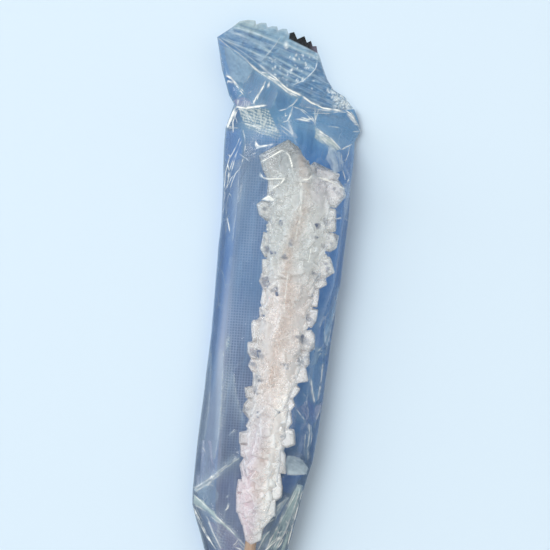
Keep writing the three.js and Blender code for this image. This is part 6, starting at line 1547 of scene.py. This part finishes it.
def points_of(me):
    p = np.empty(len(me.vertices) * 3)
    me.vertices.foreach_get("co", p)
    return p.reshape(-1, 3)


def put_colors(me, key, values):
    me.attributes.new(key, "FLOAT_COLOR", "POINT").data.foreach_set(
        "color", np.concatenate([values, np.ones((len(values), 1))], axis=1).astype(np.float32).ravel())


def candy_tint(x, y, z):
    """Sugar's colour along the stick: greyish at the thick end, rosy and cream at the thin one; brighter on the lower
    right and the sides and darker on the left as painted light and shade.
    """
    tint = np.empty((len(x), 3))
    tint[:] = lin(225, 216, 211)
    put = lambda c, color, amount: mix(c, lin(*color), np.clip(amount, 0, 1)[:, None])
    tint = put(tint, (210, 210, 207), smooth((y - 26) / 14))
    tint = put(tint, (174, 177, 178), smooth((y - 56) / 9))
    tint = put(tint, (206, 200, 204), smooth((x - 1) / 4) * smooth((y - 50) / 8) * 0.8)
    tint = put(tint, (203, 194, 197), smooth((4 - y) / 20))
    tint = put(tint, (226, 204, 210), smooth((-2 - y) / 26) * smooth((2.0 - x) / 5) * 0.95)
    # cream on the lower right, raised almost to white as painted light on the flank away from the key light
    tint = put(tint, (254, 246, 240), smooth((20 - y) / 24) * smooth((x + 0.5) / 2.6) * 0.97)
    side = np.abs(x - candy_space(y, True)[0]) / candy_space(y, True)[1]
    # painted light on the sides, more on the right, where they would lie in shade
    tint = put(tint, (244, 240, 238), smooth((side - 0.62) / 0.3) * smooth((y + 26) / 12) * (0.3 + 0.4 * smooth((x + 1) / 2)) * (1 - 0.5 * smooth((y - 26) / 14)))
    # painted shade on the left side, where the key light falls
    tint = tint * (1 - 0.13 * smooth((-1.5 - x) / 4))[:, None]
    tint = tint * (1 - 0.24 * smooth((side - 1.0) / 0.2) * smooth((8 - y) / 10) * smooth((y + 30) / 8))[:, None]
    tan = np.exp(-((x - 0.2 + 1.0 * np.sin(y * 0.21)) / 1.7) ** 2) * smooth((z - axis_z(y)) / 4)
    return put(tint, (205, 184, 170), tan * 0.6 * smooth(noise2(x * 0.3 + 2, y * 0.13, 61) * 2.2 - 0.5))


def candy_cluster(glass, milk):
    blocks = candy_blocks()
    hearts = [shrunk(bm, across, tall) for bm, across, tall in blocks if across > 0]
    outer = join_all([bm for bm, _, _ in blocks] + [loft_through(0.7, 3.0, 7.5)])
    boolean(outer, temp_object(envelope_mesh(0.3), "space"), "INTERSECT")
    bored(outer, 0.06)
    outer = one_body(outer, "candy_crystals")
    inner = join_all(hearts + [heart_loft(-1.0)])
    even_mesh(inner, 0.36)
    p = points_of(inner.data)
    n = np.empty(p.size)
    inner.data.vertices.foreach_get("normal", n)
    n = n.reshape(-1, 3)
    bumps = (noise2(p[:, 0] * 0.55 + p[:, 2] * 0.31, p[:, 1] * 0.5 - p[:, 2] * 0.2, 31) - 0.55) * 0.9
    bumps = bumps + (noise2(p[:, 0] * 1.4 + p[:, 2] * 0.7, p[:, 1] * 1.3, 32) - 0.5) * 0.3
    p = p + n * np.minimum(bumps, 0.25)[:, None]
    inner.data.vertices.foreach_set("co", p.ravel())
    boolean(inner, temp_object(envelope_mesh(-0.25), "space"), "INTERSECT")
    bored(inner, 0.3)
    inner = one_body(inner, "candy_cloudy_heart")

    me = outer.data
    thin = []
    for f in me.polygons:
        co = [me.vertices[i].co for i in f.vertices]
        longest = max((a - b).length for a, b in zip(co, co[1:] + co[:1]))
        thin.append(1.0 if 2 * f.area / max(longest, 1e-6) < 0.62 and longest > 0.5 else 0.0)
    me.attributes.new("edge", "FLOAT", "FACE").data.foreach_set("value", np.array(thin, dtype=np.float32))
    x, y, z = points_of(me).T
    side = np.abs(x - candy_space(y, True)[0]) / candy_space(y, True)[1]
    frost = 0.25 + 0.55 * smooth((10 - y) / 26) + 0.10 * noise2(x * 0.6, y * 0.6, 64)
    frost = frost + 0.16 * smooth((side - 0.7) / 0.3) * (1 - 0.8 * smooth((y - 24) / 16)) + 0.22 * smooth((x - 6) / 2) * smooth((y - 48) / 4)
    frost = frost * (1 - 0.35 * smooth((side - 1.0) / 0.2) * smooth((8 - y) / 10) * smooth((y + 30) / 8))
    me.attributes.new("frost", "FLOAT", "POINT").data.foreach_set("value", frost.astype(np.float32))
    put_colors(me, "tint", mix(candy_tint(x, y, z), np.array((0.9, 0.9, 0.89)), 0.25))

    me = inner.data
    x, y, z = points_of(me).T
    dark = np.zeros(len(x))
    for sx, sy, rx, ry in SPOTS:
        wob = 0.9 * (noise2(x * 1.5 + sx, y * 1.5 + sy, 62) - 0.5)
        dark = np.maximum(dark, smooth(2.0 - np.hypot((x - sx + wob + 0.4 * (y - sy)) / (rx * 1.3), (y - sy - wob) / (ry * 1.3))))
    rim = smooth((np.abs(x - candy_space(y, True)[0]) / candy_space(y, True)[1] - 0.6) / 0.4) * smooth((y + 24) / 16)
    dark = np.maximum(dark, rim * np.clip(noise2(x * 0.9 + 5, y * 0.9, 63) * 3.6 - 2.2, 0, 0.9))
    me.attributes.new("dark", "FLOAT", "POINT").data.foreach_set("value", dark.astype(np.float32))
    put_colors(me, "tint", candy_tint(x, y, z))
    for obj, material in ((outer, glass), (inner, milk)):
        me = obj.data
        me.vertices.foreach_set("co", place(points_of(me)).ravel())
        me.polygons.foreach_set("use_smooth", [obj is inner] * len(me.polygons))
        me.update()
        me.materials.clear()
        me.materials.append(material)
    outer.visible_shadow = inner.visible_shadow = False          # sugar lets the light through
    return outer, inner


# ------------------------------------------------------------------ stick
def wooden_stick(material):
    sides, rows = 40, 120
    ys = np.concatenate([[STICK_END_Y, STICK_END_Y + 0.06, STICK_END_Y + 0.18, STICK_END_Y + 0.4],
                         np.linspace(STICK_END_Y + 1, STICK_TOP_Y - 1, rows), [STICK_TOP_Y - 0.3, STICK_TOP_Y]])
    rs = np.concatenate([[1.12, 1.32, 1.46, 1.53], np.full(rows, STICK_RADIUS - 0.01), [1.5, 1.3]])
    verts, faces = [], []
    for y, r in zip(ys, rs):
        for k in range(sides):
            a = 2 * math.pi * k / sides
            rr = r * (1 - 0.012 * (0.5 + 0.5 * math.sin(5 * a + 0.05 * y)) - 0.01 * (0.5 + 0.5 * math.sin(11 * a + 2)))
            verts.append((rr * math.cos(a), y, axis_z(y) + rr * math.sin(a)))
    n = len(ys)
    for i in range(n - 1):
        for k in range(sides):
            a, b = i * sides + k, i * sides + (k + 1) % sides
            faces.append((a, a + sides, b + sides, b))
    for i, flip in ((0, False), (n - 1, True)):
        hub = len(verts)
        verts.append((0, ys[i], axis_z(ys[i])))
        for k in range(sides):
            a, b = i * sides + k, i * sides + (k + 1) % sides
            faces.append((hub, b, a) if flip else (hub, a, b))
    return mesh_object("stick_dowel", np.array(verts), faces, material)


# ------------------------------------------------------------------ build
front, film_grid, front_z = front_film(clear_film())
back, back_z = back_sheet(back_film(), film_grid, front_z)
fin = fin_strip(back.data.materials[0], film_grid, back_z)
seal = seal_band(seal_film())
seal.visible_shadow = False
for piece in (*front, back, fin, seal):
    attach(piece, "root")
    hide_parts("bag")

for candy in candy_cluster(sugar_glass(), sugar_milk()):
    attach(candy, "root")
    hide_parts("candy")

dowel = wooden_stick(wood())
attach(dowel, "root")
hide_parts("stick")

# ------------------------------------------------------------------ floor, light, camera
floor_mesh = bpy.data.meshes.new("floor")
floor_mesh.from_pydata([(-30, -30, -0.0002), (30, -30, -0.0002), (30, 30, -0.0002), (-30, 30, -0.0002)], [], [(0, 1, 2, 3)])
floor = bpy.data.objects.new("floor", floor_mesh)
bpy.context.scene.collection.objects.link(floor)
floor_mesh.materials.append(floor_material())

world = bpy.data.worlds.new("studio")
bpy.context.scene.world = world
world.use_nodes = True
world.node_tree.nodes["Background"].inputs[0].default_value = (1.0, 0.95, 0.885, 1)
world.node_tree.nodes["Background"].inputs[1].default_value = 0.49


def sun(name, direction, strength, spread, color=(1, 1, 1)):
    data = bpy.data.lights.new(name, "SUN")
    data.energy, data.angle, data.color = strength, math.radians(spread), color
    obj = bpy.data.objects.new(name, data)
    obj.rotation_euler = Vector(direction).to_track_quat("Z", "Y").to_euler()
    bpy.context.scene.collection.objects.link(obj)
    return obj


def panel(name, position, size, radiance, color=(1, 1, 1)):
    data = bpy.data.lights.new(name, "AREA")
    data.shape, data.size, data.size_y = "RECTANGLE", size[0], size[1]
    data.energy, data.color = radiance * math.pi * size[0] * size[1], color
    obj = bpy.data.objects.new(name, data)
    obj.location = position
    obj.rotation_euler = (Vector(position) - Vector((0.0, 0.03, 0.01))).to_track_quat("Z", "Y").to_euler()
    obj.visible_camera = False
    bpy.context.scene.collection.objects.link(obj)


sun("key", (-0.42, 0.12, 0.88), 1.64, 40, (0.964, 0.983, 1.0)).visible_glossy = False
panel("soft_left", (-0.95, 0.25, 0.42), (0.25, 1.1), 2.6)
panel("strip_left", (-0.7, 0.1, 0.22), (0.03, 0.9), 9)
panel("soft_right", (1.0, -0.05, 0.55), (0.22, 1.0), 2.6, (1.0, 0.98, 0.95))
panel("soft_top", (-0.25, 0.7, 1.1), (0.8, 0.4), 1.1)

camera_data = bpy.data.cameras.new("camera")
camera_data.sensor_width = 36
camera_data.lens = 216.8
camera = bpy.data.objects.new("camera", camera_data)
camera.location = (0.00335, 0.0329, 0.9)
camera.rotation_euler = (0, 0, math.radians(8))
bpy.context.scene.collection.objects.link(camera)
bpy.context.scene.camera = camera

bpy.context.scene.view_settings.view_transform = "Standard"
bpy.context.scene.view_settings.look = "None"
